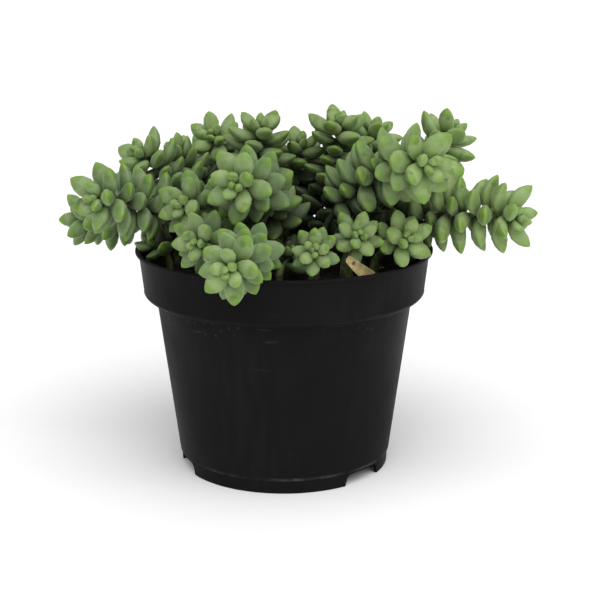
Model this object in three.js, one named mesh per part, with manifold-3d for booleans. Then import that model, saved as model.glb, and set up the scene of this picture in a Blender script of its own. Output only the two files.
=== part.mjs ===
import * as THREE from 'three';
import { mergeVertices } from 'three/addons/utils/BufferGeometryUtils.js';
import Module from 'manifold-3d';

// Burro's tail succulent growing in a round nursery pot.
// Millimetres, +Z up. The origin is on the pot's axis, on the surface that its feet stand on,
// and -Y is the front.

const wasm = await Module();
wasm.setup();

const DEGREE = Math.PI / 180;
const UP = new THREE.Vector3(0, 0, 1);

// Pot: a 6 inch azalea pot, 152 mm across its rim
const POT_HEIGHT = 114;
const RIM_RADIUS = 76;
const LIP_HEIGHT = 1.9;
const LIP_BEVEL = 0.4;
const COLLAR_TOP_RADIUS = 74.2;
const COLLAR_BOTTOM_RADIUS = 72;
const COLLAR_BOTTOM_Z = 92;
const SHOULDER_CORNER_RADIUS = 71.5;
const SHOULDER_CORNER_Z = 90;
const BODY_TOP_RADIUS = 65.55;
const BODY_TOP_Z = 87.8;
const BODY_BOTTOM_RADIUS = 54.95;
const LEDGE_Z = 7.3;
const FOOT_TOP_RADIUS = 54.2;
const FOOT_TOP_Z = 7;
const FOOT_RADIUS = 53.9;
const POT_WALL = 1.6;
const FOOT_INNER_RADIUS = FOOT_RADIUS - POT_WALL;
const BASE_UNDERSIDE_Z = 7.4;
const BASE_TOP_Z = BASE_UNDERSIDE_Z + POT_WALL;
const POT_SIDES = 40;
const SHOULDER_STEPS = 3;

// Feet: three, with notches between them, and drain holes in the base
const NOTCH_TURNS = [48.5, 168.5, 288.5];
const NOTCH_WIDTH = 24;
const NOTCH_HEIGHT = 6;
const DRAIN_RADIUS = 4.5;
const DRAIN_CIRCLE = 40;
const DRAIN_COUNT = 6;
const DRAIN_SIDES = 8;

// Soil
const SOIL_TOP = 102;
const SOIL_GAP = 0.6;
const SOIL_RELIEF = 1.3;
const SOIL_WAVES = [9, 11];
const SOIL_RIPPLES = [4.3, 5.1];
const SOIL_RINGS = 3;
const SOIL_SIDES = 28;
const ROOT_DEPTH = 8.5;
const HOLE_RADIUS = 2.75;
const HOLE_SIDES = 5;

// Stems
const STEM_SIDES = 5;
const STEM_RADIUS = 1.9;
const STEM_TIP_RADIUS = 0.85;
const STEM_TAPER_LENGTH = 7;
const STEM_STEPS = 60;
const STEM_START_Z = SOIL_TOP + 4;
const STEM_RISE = 0.42;
const STEM_REACH = 0.45;
const BARE_STEPS = 2;

// Leaves: plump, pointed, set one by one round the stem at the golden angle
const GOLDEN_TURN = 137.5;
const LEAVES_PER_ROW = 3;
const SIDE_TURN = 360 / STEM_SIDES;
const TWIST_PER_LEAF = GOLDEN_TURN - 2 * SIDE_TURN;
const LEAF_LENGTH = 17.5;
const BUD_SHARE = 0.36;
const GROWN_AFTER = 4;
const LEAF_PITCH = 1.25;
const BUD_PITCH_SHARE = 0.45;
const FIRST_LEAF = 0.7;
const YOUNG_TILT = 28;
const OLD_TILT = 82;
const TILT_LEAVES = 5.5;
const TILT_JITTER = 4;
const TURN_JITTER = 3;
const LENGTH_JITTER = 0.08;
const BELLY = 0.6;
const BELLY_WIDTH = 0.46;
const BELLY_THICKNESS = 0.36;
const BUD_WIDTH_SHARE = 0.72;
const NOSE = 0.97;
const NOSE_WIDTH = 0.2;

// Two leaves of a stem may touch, but not by more than this
const TOUCH = 0.0002;

// Room that a leaf needs, as balls along it: how far along, and how wide
const LEAF_BALLS = [[0.3, 0.19], [0.5, 0.25], [0.7, 0.24], [0.9, 0.14]];
const CLEARANCE = 0.4;
const STEM_BALL = 2;
const STEM_BALL_STEP = 2;
const RIM_BALL = 1.9;
const RIM_LOW = new THREE.Vector2(73.9, 90);
const RIM_HIGH = new THREE.Vector2(74.3, 112.2);
// Ways to place a leaf, tried in turn: tilted, turned and shrunk
const TRIES = [
  [0, 0, 1], [-10, 0, 1], [0, 10, 1], [0, -10, 1], [10, 0, 1], [-20, 0, 1], [0, 0, 0.86],
  [-10, 12, 0.9], [-10, -12, 0.9], [10, 12, 0.86], [10, -12, 0.86], [-30, 0, 0.85],
  [0, 0, 0.72], [-20, 0, 0.7], [12, 0, 0.7], [0, 0, 0.56], [-24, 0, 0.5]
];

// Odd numbers that make the drawn fractions look random
const NOISE = [12.9898, 78.233, 37.719, 4.1];
const NOISE_SCALE = 43758.5453;

// Dry leaf: a thin cupped flake that leans on the inside of the rim, from its narrow end to its
// wide one, with the way its face looks and its half widths along it
const DRY_FROM = new THREE.Vector3(30.3, -64.4, 121.9);
const DRY_TO = new THREE.Vector3(43.4, -56.9, 111.7);
const DRY_FACE = new THREE.Vector3(0.3, -0.9, 0.2);
const DRY_THICKNESS = 0.8;
const DRY_CUP = 1.1;
const DRY_HALF_WIDTHS = [[0, 1.7], [0.3, 3.2], [0.65, 4.6], [0.9, 3.6], [1, 1.5]];

// Leafy stems: root on the soil, tip, way the tip points, leaves, leaf size, turn and hand
const TAILS = [
  tail('far_left', [-46, -4], [-91, -32, 144], [-0.5, -0.85, 0.2], 32, 1.1, 0, 1),
  tail('left_high', [-40, 12], [-75.5, 20, 158.5], [-0.55, -0.5, 0.65], 36, 1.08, 30, 1),
  tail('left_back', [-34, 30], [-60, 44, 157], [-0.6, 0.1, 0.77], 28, 0.95, 60, -1),
  tail('back_left_high', [-20, 34], [-39, 50, 164], [-0.15, -0.85, 0.5], 30, 1, 90, 1),
  tail('middle_high', [-8, 6], [-12, 6, 175], [0.1, -0.3, 0.95], 40, 1, 120, 1),
  tail('front_face', [-2, -16], [-21.5, -64, 157], [-0.3, -0.94, 0.12], 46, 1.05, 150, 1),
  tail('left_low', [-30, -18], [-48.5, -44, 144], [-0.5, -0.85, 0.15], 32, 0.95, 0, -1),
  tail('left_rim', [-28, -36], [-40, -66, 130], [-0.4, -0.9, 0.1], 26, 0.9, 40, 1),
  tail('over_rim', [-12, -48], [-23.5, -102, 125.5], [-0.3, -0.95, 0], 33, 0.94, 80, 1),
  tail('front_bud', [14, -50], [14.6, -72, 127.5], [-0.1, -0.9, 0.42], 14, 0.7, 120, -1),
  tail('right_bud', [32, -38], [35.8, -58, 132], [0.1, -0.88, 0.45], 14, 0.78, 10, 1),
  tail('right_rim', [44, -28], [60, -48, 128], [0.25, -0.88, 0.4], 15, 0.9, 50, -1),
  tail('top', [16, 8], [28, 14, 176], [0.05, -0.3, 0.95], 48, 1, 90, 1),
  tail('top_back', [24, 34], [49, 54, 168], [0.35, -0.1, 0.93], 32, 1, 20, -1),
  tail('right_face', [16, -20], [68, -56, 165.5], [0.4, -0.91, 0.05], 48, 1.08, 60, 1),
  tail('right_high', [40, 10], [86, 14, 172], [0.5, 0.3, 0.8], 34, 1.05, 100, 1),
  tail('far_right', [46, -10], [114, -30, 134.5], [0.72, -0.68, 0.06], 44, 1.1, 140, 1),
  tail('back_far_left', [-48, 26], [-113.5, 56, 117], [-0.85, 0.5, -0.1], 28, 1, 0, 1),
  tail('back_left', [-26, 46], [-46, 92, 146], [-0.4, 0.9, 0], 28, 1, 50, -1),
  tail('back_middle', [0, 48], [-4, 103, 128], [-0.05, 0.98, -0.1], 28, 1, 100, 1),
  tail('back_right', [26, 48], [44, 92, 134], [0.4, 0.9, 0.05], 28, 1, 150, 1),
  tail('back_far_right', [50, 26], [90, 62, 134], [0.78, 0.6, 0.05], 28, 1, 20, -1),
  tail('inner_left', [-14, 22], [-22, 36, 142], [-0.3, 0.5, 0.8], 20, 0.95, 70, 1),
  tail('inner_right', [36, 22], [64, 38, 146], [0.6, 0.45, 0.66], 28, 0.95, 110, 1),
  tail('shoot_left', [-58, -10], [-66, -12, 119], [-0.5, -0.4, 0.76], 12, 0.9, 15, 1),
  tail('shoot_front', [-2, -34], [4, -31, 118], [0.1, -0.6, 0.8], 10, 0.85, 45, -1),
  tail('shoot_middle', [30, -22], [40, -16, 134], [0.2, -0.5, 0.8], 20, 0.95, 75, 1),
  tail('shoot_right', [58, 2], [66, 4, 124], [0.4, 0.1, 0.9], 16, 0.9, 105, 1),
  tail('shoot_centre', [4, 28], [8, 26, 163], [0.15, -0.3, 0.9], 36, 0.98, 135, -1),
  tail('shoot_back', [-56, 6], [-62, 8, 122], [-0.4, 0.1, 0.9], 14, 0.9, 165, 1),
  tail('shoot_rim', [18, 60], [20, 62, 148], [0.1, -0.2, 0.95], 22, 0.95, 30, 1),
  tail('shoot_corner', [44, 46], [52, 50, 129], [0.3, 0.2, 0.9], 18, 0.95, 60, -1)
];

function tail(name, root, tip, aim, leaves, size, turn, hand) {
  return {
    name,
    root: new THREE.Vector2(...root),
    tip: new THREE.Vector3(...tip),
    aim: new THREE.Vector3(...aim).normalize(),
    leaves,
    size,
    turn,
    hand
  };
}

// A fraction from 0 to 1 that looks random and is the same in every run
function draw(first, second, third) {
  const [byFirst, bySecond, byThird, shift] = NOISE;
  const wave = Math.sin(first * byFirst + second * bySecond + third * byThird + shift) * NOISE_SCALE;
  return wave - Math.floor(wave);
}

function jitter(first, second, third, spread) {
  return (2 * draw(first, second, third) - 1) * spread;
}

// Solids: from a geometry and back

function toSolid(geometry) {
  const bare = geometry.clone();
  bare.deleteAttribute('normal');
  bare.deleteAttribute('uv');
  const merged = mergeVertices(bare);
  const corners = merged.index.array;
  const kept = [];
  for (let i = 0; i < corners.length; i += 3) {
    const [a, b, c] = [corners[i], corners[i + 1], corners[i + 2]];
    if (a !== b && b !== c && c !== a) {
      kept.push(a, b, c);
    }
  }
  const vertProperties = new Float32Array(merged.attributes.position.array);
  return new wasm.Manifold(new wasm.Mesh({ numProp: 3, vertProperties, triVerts: new Uint32Array(kept) }));
}

function toGeometry(solid) {
  const mesh = solid.getMesh();
  return meshGeometry(mesh.vertProperties, mesh.triVerts);
}

function meshGeometry(positions, corners) {
  const geometry = new THREE.BufferGeometry();
  geometry.setAttribute('position', new THREE.BufferAttribute(new Float32Array(positions), 3));
  geometry.setIndex(new THREE.BufferAttribute(new Uint32Array(corners), 1));
  geometry.computeVertexNormals();
  return geometry;
}

// A profile of radius and height, turned round the Z axis
function turned(profile, sides) {
  const geometry = new THREE.LatheGeometry(profile, sides);
  geometry.rotateX(Math.PI / 2);
  return geometry;
}

// Pot

function alongLine(z, lowZ, lowRadius, highZ, highRadius) {
  return lowRadius + (highRadius - lowRadius) * (z - lowZ) / (highZ - lowZ);
}

function bodyRadius(z) {
  return alongLine(z, LEDGE_Z, BODY_BOTTOM_RADIUS, BODY_TOP_Z, BODY_TOP_RADIUS);
}

function collarRadius(z) {
  return alongLine(z, COLLAR_BOTTOM_Z, COLLAR_BOTTOM_RADIUS, POT_HEIGHT - LIP_HEIGHT, COLLAR_TOP_RADIUS);
}

// The wall's line from bottomZ up to topZ, moved in by inset
function wallLine(inset, bottomZ, topZ) {
  const line = new THREE.Path();
  line.moveTo(bodyRadius(bottomZ) - inset, bottomZ);
  line.lineTo(BODY_TOP_RADIUS - inset, BODY_TOP_Z + inset);
  line.quadraticCurveTo(
    SHOULDER_CORNER_RADIUS - inset, SHOULDER_CORNER_Z + inset,
    COLLAR_BOTTOM_RADIUS - inset, COLLAR_BOTTOM_Z + inset / 2
  );
  line.lineTo(collarRadius(topZ) - inset, topZ);
  return line.getPoints(SHOULDER_STEPS);
}

function potProfile() {
  const lipZ = POT_HEIGHT - LIP_HEIGHT;
  const lipInnerRadius = RIM_RADIUS - POT_WALL;
  return [
    new THREE.Vector2(0, BASE_UNDERSIDE_Z),
    new THREE.Vector2(FOOT_INNER_RADIUS, BASE_UNDERSIDE_Z),
    new THREE.Vector2(FOOT_INNER_RADIUS, 0),
    new THREE.Vector2(FOOT_RADIUS, 0),
    new THREE.Vector2(FOOT_TOP_RADIUS, FOOT_TOP_Z),
    ...wallLine(0, LEDGE_Z, lipZ),
    new THREE.Vector2(RIM_RADIUS, lipZ + LIP_BEVEL),
    new THREE.Vector2(RIM_RADIUS, POT_HEIGHT),
    new THREE.Vector2(lipInnerRadius, POT_HEIGHT),
    ...wallLine(POT_WALL, BASE_TOP_Z, lipZ).reverse(),
    new THREE.Vector2(0, BASE_TOP_Z)
  ];
}

function makePot() {
  let pot = toSolid(turned(potProfile(), POT_SIDES));
  for (const turn of NOTCH_TURNS) {
    const notch = new THREE.BoxGeometry(NOTCH_WIDTH, FOOT_RADIUS / 4, 2 * NOTCH_HEIGHT);
    notch.translate(0, -FOOT_RADIUS, 0);
    notch.rotateZ(turn * DEGREE);
    pot = pot.subtract(toSolid(notch));
  }
  for (let i = 0; i < DRAIN_COUNT; i += 1) {
    const drain = new THREE.CylinderGeometry(DRAIN_RADIUS, DRAIN_RADIUS, 4 * POT_WALL, DRAIN_SIDES);
    drain.rotateX(Math.PI / 2);
    drain.translate(0, -DRAIN_CIRCLE, BASE_UNDERSIDE_Z);
    drain.rotateZ((NOTCH_TURNS[0] + i * 360 / DRAIN_COUNT) * DEGREE);
    pot = pot.subtract(toSolid(drain));
  }
  return toGeometry(pot);
}

// Soil, with a plain hole for each stem

function soilHeight(x, y) {
  const waves = Math.sin(x / SOIL_WAVES[0] + 1) * Math.cos(y / SOIL_WAVES[1]);
  const ripples = Math.sin(x / SOIL_RIPPLES[0] + y / SOIL_RIPPLES[1]);
  return SOIL_TOP + SOIL_RELIEF * (waves + ripples / 3);
}

function makeSoil() {
  const side = wallLine(POT_WALL + SOIL_GAP, BASE_TOP_Z + SOIL_GAP, SOIL_TOP);
  const topRadius = side[side.length - 1].x;
  const profile = [new THREE.Vector2(0, BASE_TOP_Z + SOIL_GAP), ...side];
  for (let ring = SOIL_RINGS - 1; ring >= 0; ring -= 1) {
    profile.push(new THREE.Vector2(topRadius * ring / SOIL_RINGS, SOIL_TOP));
  }
  const geometry = turned(profile, SOIL_SIDES);
  const place = geometry.attributes.position;
  for (let i = 0; i < place.count; i += 1) {
    const inside = Math.hypot(place.getX(i), place.getY(i)) < topRadius - 1;
    if (place.getZ(i) > SOIL_TOP - 1 && inside) {
      place.setZ(i, soilHeight(place.getX(i), place.getY(i)));
    }
  }
  let soil = toSolid(geometry);
  for (const { root } of TAILS) {
    const depth = 2 * (ROOT_DEPTH + SOIL_GAP);
    const hole = new THREE.CylinderGeometry(HOLE_RADIUS, HOLE_RADIUS, depth, HOLE_SIDES);
    hole.rotateX(Math.PI / 2);
    hole.translate(root.x, root.y, SOIL_TOP);
    soil = soil.subtract(toSolid(hole));
  }
  return toGeometry(soil);
}

// Stem lines: straight up out of the soil, then an arch to the tip

function bezier(a, b, c, d, t) {
  const u = 1 - t;
  return new THREE.Vector3()
    .addScaledVector(a, u * u * u)
    .addScaledVector(b, 3 * u * u * t)
    .addScaledVector(c, 3 * u * t * t)
    .addScaledVector(d, t * t * t);
}

// The points from the tip down, each with its distance from the tip, the way up the stem,
// and a side vector that turns with the stem without rolling about it
function stemLine({ root, tip, aim }) {
  const start = new THREE.Vector3(root.x, root.y, STEM_START_Z);
  const span = start.distanceTo(tip);
  const above = start.clone().addScaledVector(UP, STEM_RISE * span);
  const behind = tip.clone().addScaledVector(aim, -STEM_REACH * span);
  const points = [];
  for (let i = 0; i <= STEM_STEPS; i += 1) {
    points.push({ at: bezier(tip, behind, above, start, i / STEM_STEPS) });
  }
  points.push({ at: new THREE.Vector3(root.x, root.y, SOIL_TOP - ROOT_DEPTH) });
  let side = new THREE.Vector3().crossVectors(aim, UP).normalize();
  points.forEach((point, i) => {
    const before = points[Math.max(i - 1, 0)];
    const after = points[Math.min(i + 1, points.length - 1)];
    point.along = i === 0 ? 0 : before.along + before.at.distanceTo(point.at);
    point.ahead = new THREE.Vector3().subVectors(before.at, after.at).normalize();
    side = side.clone().addScaledVector(point.ahead, -side.dot(point.ahead)).normalize();
    point.side = side;
  });
  return points;
}

function stemAt(line, along) {
  let i = 1;
  while (i < line.length - 1 && line[i].along < along) i += 1;
  const low = line[i - 1];
  const high = line[i];
  const share = (along - low.along) / (high.along - low.along);
  return {
    at: low.at.clone().lerp(high.at, share),
    ahead: low.ahead.clone().lerp(high.ahead, share).normalize(),
    side: low.side.clone().lerp(high.side, share).normalize()
  };
}

function stemRadius(along) {
  return STEM_RADIUS - (STEM_RADIUS - STEM_TIP_RADIUS) * Math.exp(-along / STEM_TAPER_LENGTH);
}

// The vector that stands out of the stem at a turn about it, in degrees
function outward(place, turn) {
  const across = new THREE.Vector3().crossVectors(place.ahead, place.side);
  return place.side.clone().multiplyScalar(Math.cos(turn * DEGREE))
    .addScaledVector(across, Math.sin(turn * DEGREE));
}

// Leaves

function grown(rank) {
  return 1 - Math.exp(-((rank / GROWN_AFTER) ** 2));
}

// How far each leaf's root is from the tip
function leafStations({ leaves, size }) {
  const stations = [];
  let along = FIRST_LEAF * size;
  for (let rank = 0; rank < leaves; rank += 1) {
    stations.push(along);
    along += LEAF_PITCH * size * (BUD_PITCH_SHARE + (1 - BUD_PITCH_SHARE) * grown(rank));
  }
  return stations;
}

// Where the row of leaves that starts with a rank starts along the stem
function rowStart({ size, stations }, rank) {
  if (rank === 0) {
    return stations[0] / 2;
  }
  return rank < stations.length
    ? (stations[rank - 1] + stations[rank]) / 2
    : stations[stations.length - 1] + LEAF_PITCH * size;
}

// Five points round the stem, turned a little more from row to row so that a face meets each leaf
function stemRing(stem, along, twist) {
  const place = stemAt(stem.line, along);
  const ring = [];
  for (let i = 0; i < STEM_SIDES; i += 1) {
    const turn = stem.hand * (stem.turn + twist + (i - 0.5) * SIDE_TURN);
    ring.push(place.at.clone().addScaledVector(outward(place, turn), stemRadius(along)));
  }
  return ring;
}

// The rings that part the rows of leaves, and those of the bare foot of the stem
function stemRings(stem) {
  const rings = [];
  const rows = Math.ceil(stem.leaves / LEAVES_PER_ROW);
  let twist = 0;
  for (let row = 0; row <= rows; row += 1) {
    const rank = row * LEAVES_PER_ROW;
    twist = TWIST_PER_LEAF * (rank - 0.5);
    rings.push(stemRing(stem, rowStart(stem, rank), twist));
  }
  const bareFrom = rowStart(stem, rows * LEAVES_PER_ROW);
  const [knee, foot] = stem.line.slice(-2);
  for (let step = 1; step <= BARE_STEPS; step += 1) {
    rings.push(stemRing(stem, bareFrom + (knee.along - bareFrom) * step / BARE_STEPS, twist));
  }
  rings.push(stemRing(stem, foot.along, twist));
  return rings;
}

// The corners of the face of the stem that a leaf is drawn out of
function leafRoot(stem, rank) {
  const row = Math.floor(rank / LEAVES_PER_ROW);
  const left = (2 * rank) % STEM_SIDES;
  const right = (left + 1) % STEM_SIDES;
  const upper = stem.rings[row];
  const lower = stem.rings[row + 1];
  return [upper[left], upper[right], lower[right], lower[left]];
}

// A leaf from its rank on the stem: the older it is, the longer it is and the more it leans out
function placeLeaf(stem, rank, [tiltMore, turnMore, shrink]) {
  const place = stemAt(stem.line, stem.stations[rank]);
  const tilt = YOUNG_TILT + (OLD_TILT - YOUNG_TILT) * (1 - Math.exp(-rank / TILT_LEAVES))
    + jitter(stem.number, rank, 1, TILT_JITTER) * grown(rank) + tiltMore;
  const turn = stem.hand * (stem.turn + rank * GOLDEN_TURN)
    + jitter(stem.number, rank, 2, TURN_JITTER) + turnMore;
  const length = LEAF_LENGTH * stem.size * shrink * (BUD_SHARE + (1 - BUD_SHARE) * grown(rank))
    * (1 + jitter(stem.number, rank, 3, LENGTH_JITTER));
  const out = outward(place, turn);
  const along = place.ahead.clone().multiplyScalar(Math.cos(tilt * DEGREE))
    .addScaledVector(out, Math.sin(tilt * DEGREE));
  const base = place.at.clone().addScaledVector(out, stemRadius(stem.stations[rank]) / 2);
  const right = new THREE.Vector3().crossVectors(place.ahead, out).multiplyScalar(stem.hand);
  const over = new THREE.Vector3().crossVectors(along, right).multiplyScalar(stem.hand);
  const plump = BUD_WIDTH_SHARE + (1 - BUD_WIDTH_SHARE) * grown(rank);
  const wide = right.clone().multiplyScalar(length * BELLY_WIDTH * plump / 2);
  const thick = over.clone().multiplyScalar(length * BELLY_THICKNESS * plump / 2);
  const noseWide = right.clone().multiplyScalar(length * NOSE_WIDTH / 2);
  const belly = base.clone().addScaledVector(along, length * BELLY);
  const nose = base.clone().addScaledVector(along, length * NOSE);
  const root = leafRoot(stem, rank);
  const ring = [
    belly.clone().add(thick).sub(wide),
    belly.clone().add(thick).add(wide),
    belly.clone().sub(thick).add(wide),
    belly.clone().sub(thick).sub(wide)
  ];
  const tip = [nose.clone().sub(noseWide), nose.clone().add(noseWide)];
  return { number: stem.number, base, along, length, belly, root, ring, tip, ...leafEdges(root, ring, tip) };
}

// The corners of a leaf, and the edges between them
function leafEdges(root, ring, tip) {
  const edges = [[tip[0], tip[1]]];
  for (let i = 0; i < ring.length; i += 1) {
    const next = (i + 1) % ring.length;
    edges.push([root[i], ring[i]], [root[i], root[next]], [root[next], ring[i]]);
    edges.push([ring[i], ring[next]], [ring[i], tip[i === 1 || i === 2 ? 1 : 0]]);
  }
  return {
    points: [...root, ...ring, ...tip],
    edges: edges.map(([from, to]) => to.clone().sub(from).normalize())
  };
}

// A point on a leaf's middle line
function leafPoint(leaf, share) {
  return leaf.base.clone().addScaledVector(leaf.along, leaf.length * share);
}

// The dry leaf's points, in rows across it, on its front or its back
function dryRows(side) {
  const along = DRY_TO.clone().sub(DRY_FROM);
  const across = new THREE.Vector3().crossVectors(DRY_FACE, along).normalize();
  const face = new THREE.Vector3().crossVectors(along, across).normalize();
  return DRY_HALF_WIDTHS.map(([share, halfWidth]) => [-1, 0, 1].map((edge) => {
    const cupped = side * DRY_THICKNESS / 2 - (edge === 0 ? DRY_CUP : 0);
    return DRY_FROM.clone().addScaledVector(along, share)
      .addScaledVector(across, edge * halfWidth)
      .addScaledVector(face, cupped);
  }));
}

// The room that the dry leaf takes, in the form that leaves are tested in
function dryRoom() {
  const points = [...dryRows(1).flat(), ...dryRows(-1).flat()];
  const along = DRY_TO.clone().sub(DRY_FROM);
  const across = new THREE.Vector3().crossVectors(DRY_FACE, along);
  return {
    number: -1,
    belly: DRY_FROM.clone().lerp(DRY_TO, BELLY),
    length: along.length(),
    points,
    edges: [along, across, DRY_FACE].map((edge) => edge.clone().normalize())
  };
}

// How far a point is from the middle of the pot's collar wall
function rimDistance(point) {
  const flat = new THREE.Vector2(Math.hypot(point.x, point.y), point.z);
  const wall = RIM_HIGH.clone().sub(RIM_LOW);
  const share = THREE.MathUtils.clamp(flat.clone().sub(RIM_LOW).dot(wall) / wall.lengthSq(), 0, 1);
  return flat.distanceTo(RIM_LOW.clone().addScaledVector(wall, share));
}

// How far two sets of points are apart along an axis
function gapAlong(axis, points, others) {
  let low = Infinity;
  let high = -Infinity;
  let otherLow = Infinity;
  let otherHigh = -Infinity;
  for (const point of points) {
    const place = point.dot(axis);
    low = Math.min(low, place);
    high = Math.max(high, place);
  }
  for (const point of others) {
    const place = point.dot(axis);
    otherLow = Math.min(otherLow, place);
    otherHigh = Math.max(otherHigh, place);
  }
  return Math.max(low - otherHigh, otherLow - high);
}

// Whether a plane can stand between two leaves that are a gap apart: it would lie along two edges
function areParted(leaf, other, gap) {
  if (leaf.belly.distanceTo(other.belly) > leaf.length + other.length) {
    return true;
  }
  const edges = [...leaf.edges, ...other.edges];
  const axis = new THREE.Vector3();
  for (let i = 0; i < edges.length; i += 1) {
    for (let j = i + 1; j < edges.length; j += 1) {
      axis.crossVectors(edges[i], edges[j]);
      if (axis.lengthSq() > TOUCH) {
        axis.normalize();
        if (gapAlong(axis, leaf.points, other.points) > gap) {
          return true;
        }
      }
    }
  }
  return false;
}

// Whether a leaf is clear of the rim, the soil and the other stems
function isFree(leaf, stemBalls) {
  for (const [share, radius] of LEAF_BALLS) {
    const at = leafPoint(leaf, share);
    const room = radius * leaf.length + CLEARANCE;
    const overSoil = Math.hypot(at.x, at.y) < RIM_RADIUS;
    if (rimDistance(at) < room + RIM_BALL) {
      return false;
    }
    if (overSoil && at.z < room + SOIL_TOP + 2 * SOIL_RELIEF) {
      return false;
    }
    if (stemBalls.some((ball) => ball.number !== leaf.number && at.distanceTo(ball.at) < room + STEM_BALL)) {
      return false;
    }
  }
  return true;
}

// Leaves are placed from the tips down, a rank at a time on all stems together
function growLeaves(stems) {
  const stemBalls = [];
  for (const { line, number } of stems) {
    for (let along = 0; along < line[line.length - 1].along; along += STEM_BALL_STEP) {
      stemBalls.push({ at: stemAt(line, along).at, number });
    }
  }
  const placed = [dryRoom()];
  const mostLeaves = Math.max(...stems.map((stem) => stem.leaves));
  for (let rank = 0; rank < mostLeaves; rank += 1) {
    for (const stem of stems.filter(({ leaves }) => rank < leaves)) {
      const fits = (leaf) => isFree(leaf, stemBalls) && placed.every((other) => (
        areParted(leaf, other, other.number === stem.number ? -TOUCH : CLEARANCE)
      ));
      const leaf = TRIES.map((change) => placeLeaf(stem, rank, change)).find(fits);
      if (leaf) {
        stem.grown[rank] = leaf;
        placed.push(leaf);
      }
    }
  }
}

// One closed skin for a stem and its leaves: each leaf is drawn out of one face of the stem

class Skin {
  constructor(flipped) {
    this.positions = [];
    this.corners = [];
    this.flipped = flipped;
  }

  point(at) {
    this.positions.push(at.x, at.y, at.z);
    return this.positions.length / 3 - 1;
  }

  triangle(a, b, c) {
    if (this.flipped) {
      this.corners.push(a, c, b);
    } else {
      this.corners.push(a, b, c);
    }
  }

  quad(a, b, c, d) {
    this.triangle(a, b, c);
    this.triangle(a, c, d);
  }

  geometry() {
    return meshGeometry(this.positions, this.corners);
  }
}

// A plump body drawn out of a face of the stem, with a short blunt edge for its tip
function drawOutLeaf(skin, leaf, root) {
  const ring = leaf.ring.map((at) => skin.point(at));
  const [noseLeft, noseRight] = leaf.tip.map((at) => skin.point(at));
  for (let i = 0; i < ring.length; i += 1) {
    const next = (i + 1) % ring.length;
    skin.quad(root[next], root[i], ring[i], ring[next]);
  }
  const [upperLeft, upperRight, lowerRight, lowerLeft] = ring;
  skin.quad(upperRight, upperLeft, noseLeft, noseRight);
  skin.triangle(lowerRight, upperRight, noseRight);
  skin.quad(lowerLeft, lowerRight, noseRight, noseLeft);
  skin.triangle(upperLeft, lowerLeft, noseLeft);
}

function makeTail(stem) {
  const skin = new Skin(stem.hand < 0);
  const tip = skin.point(stem.line[0].at);
  const rings = stem.rings.map((ring) => ring.map((at) => skin.point(at)));
  const [first] = rings;
  for (let i = 0; i < STEM_SIDES; i += 1) {
    skin.triangle(tip, first[i], first[(i + 1) % STEM_SIDES]);
  }
  for (let row = 0; row + 1 < rings.length; row += 1) {
    const upper = rings[row];
    const lower = rings[row + 1];
    const leafOnSide = new Map();
    for (let i = 0; i < LEAVES_PER_ROW; i += 1) {
      const rank = row * LEAVES_PER_ROW + i;
      leafOnSide.set((2 * rank) % STEM_SIDES, stem.grown[rank]);
    }
    for (let i = 0; i < STEM_SIDES; i += 1) {
      const right = (i + 1) % STEM_SIDES;
      const leaf = leafOnSide.get(i);
      if (leaf) {
        drawOutLeaf(skin, leaf, [upper[i], upper[right], lower[right], lower[i]]);
      } else {
        skin.quad(upper[right], upper[i], lower[i], lower[right]);
      }
    }
  }
  const last = rings[rings.length - 1];
  for (let i = 1; i < STEM_SIDES - 1; i += 1) {
    skin.triangle(last[0], last[i + 1], last[i]);
  }
  return skin.geometry();
}

// A closed flake: its front, its back and the edge between them
function makeDryLeaf() {
  const skin = new Skin(false);
  const front = dryRows(1).map((row) => row.map((at) => skin.point(at)));
  const back = dryRows(-1).map((row) => row.map((at) => skin.point(at)));
  const last = front.length - 1;
  for (let i = 0; i < last; i += 1) {
    for (const j of [0, 1]) {
      skin.quad(front[i][j], front[i + 1][j], front[i + 1][j + 1], front[i][j + 1]);
      skin.quad(back[i][j + 1], back[i + 1][j + 1], back[i + 1][j], back[i][j]);
    }
    skin.quad(back[i][0], back[i + 1][0], front[i + 1][0], front[i][0]);
    skin.quad(front[i][2], front[i + 1][2], back[i + 1][2], back[i][2]);
  }
  for (const j of [0, 1]) {
    skin.quad(front[0][j], front[0][j + 1], back[0][j + 1], back[0][j]);
    skin.quad(back[last][j], back[last][j + 1], front[last][j + 1], front[last][j]);
  }
  return skin.geometry();
}

// Materials
const blackPlastic = new THREE.MeshStandardMaterial({ color: 0x1c1c1d, roughness: 0.5, metalness: 0 });
const darkSoil = new THREE.MeshStandardMaterial({ color: 0x2a2119, roughness: 1, metalness: 0 });
const dryTan = new THREE.MeshStandardMaterial({ color: 0xb59c6e, roughness: 0.8, metalness: 0 });
const leafGreen = new THREE.MeshStandardMaterial({ color: 0x86a877, roughness: 0.6, metalness: 0 });

// The plant in its pot
const plant = new THREE.Group();

function addPiece(name, geometry, material) {
  const mesh = new THREE.Mesh(geometry, material);
  mesh.name = name;
  plant.add(mesh);
}

const stems = TAILS.map((row, number) => {
  const stem = { ...row, number, line: stemLine(row), stations: leafStations(row), grown: [] };
  stem.rings = stemRings(stem);
  return stem;
});
growLeaves(stems);

addPiece('pot', makePot(), blackPlastic);
addPiece('soil', makeSoil(), darkSoil);
addPiece('dry_leaf', makeDryLeaf(), dryTan);
for (const stem of stems) {
  addPiece(`tail_${stem.name}`, makeTail(stem), leafGreen);
}

export default plant;
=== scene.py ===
import math
import random
from types import SimpleNamespace

import bpy
import numpy as np
from mathutils import Color, Matrix, Vector, noise


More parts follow.
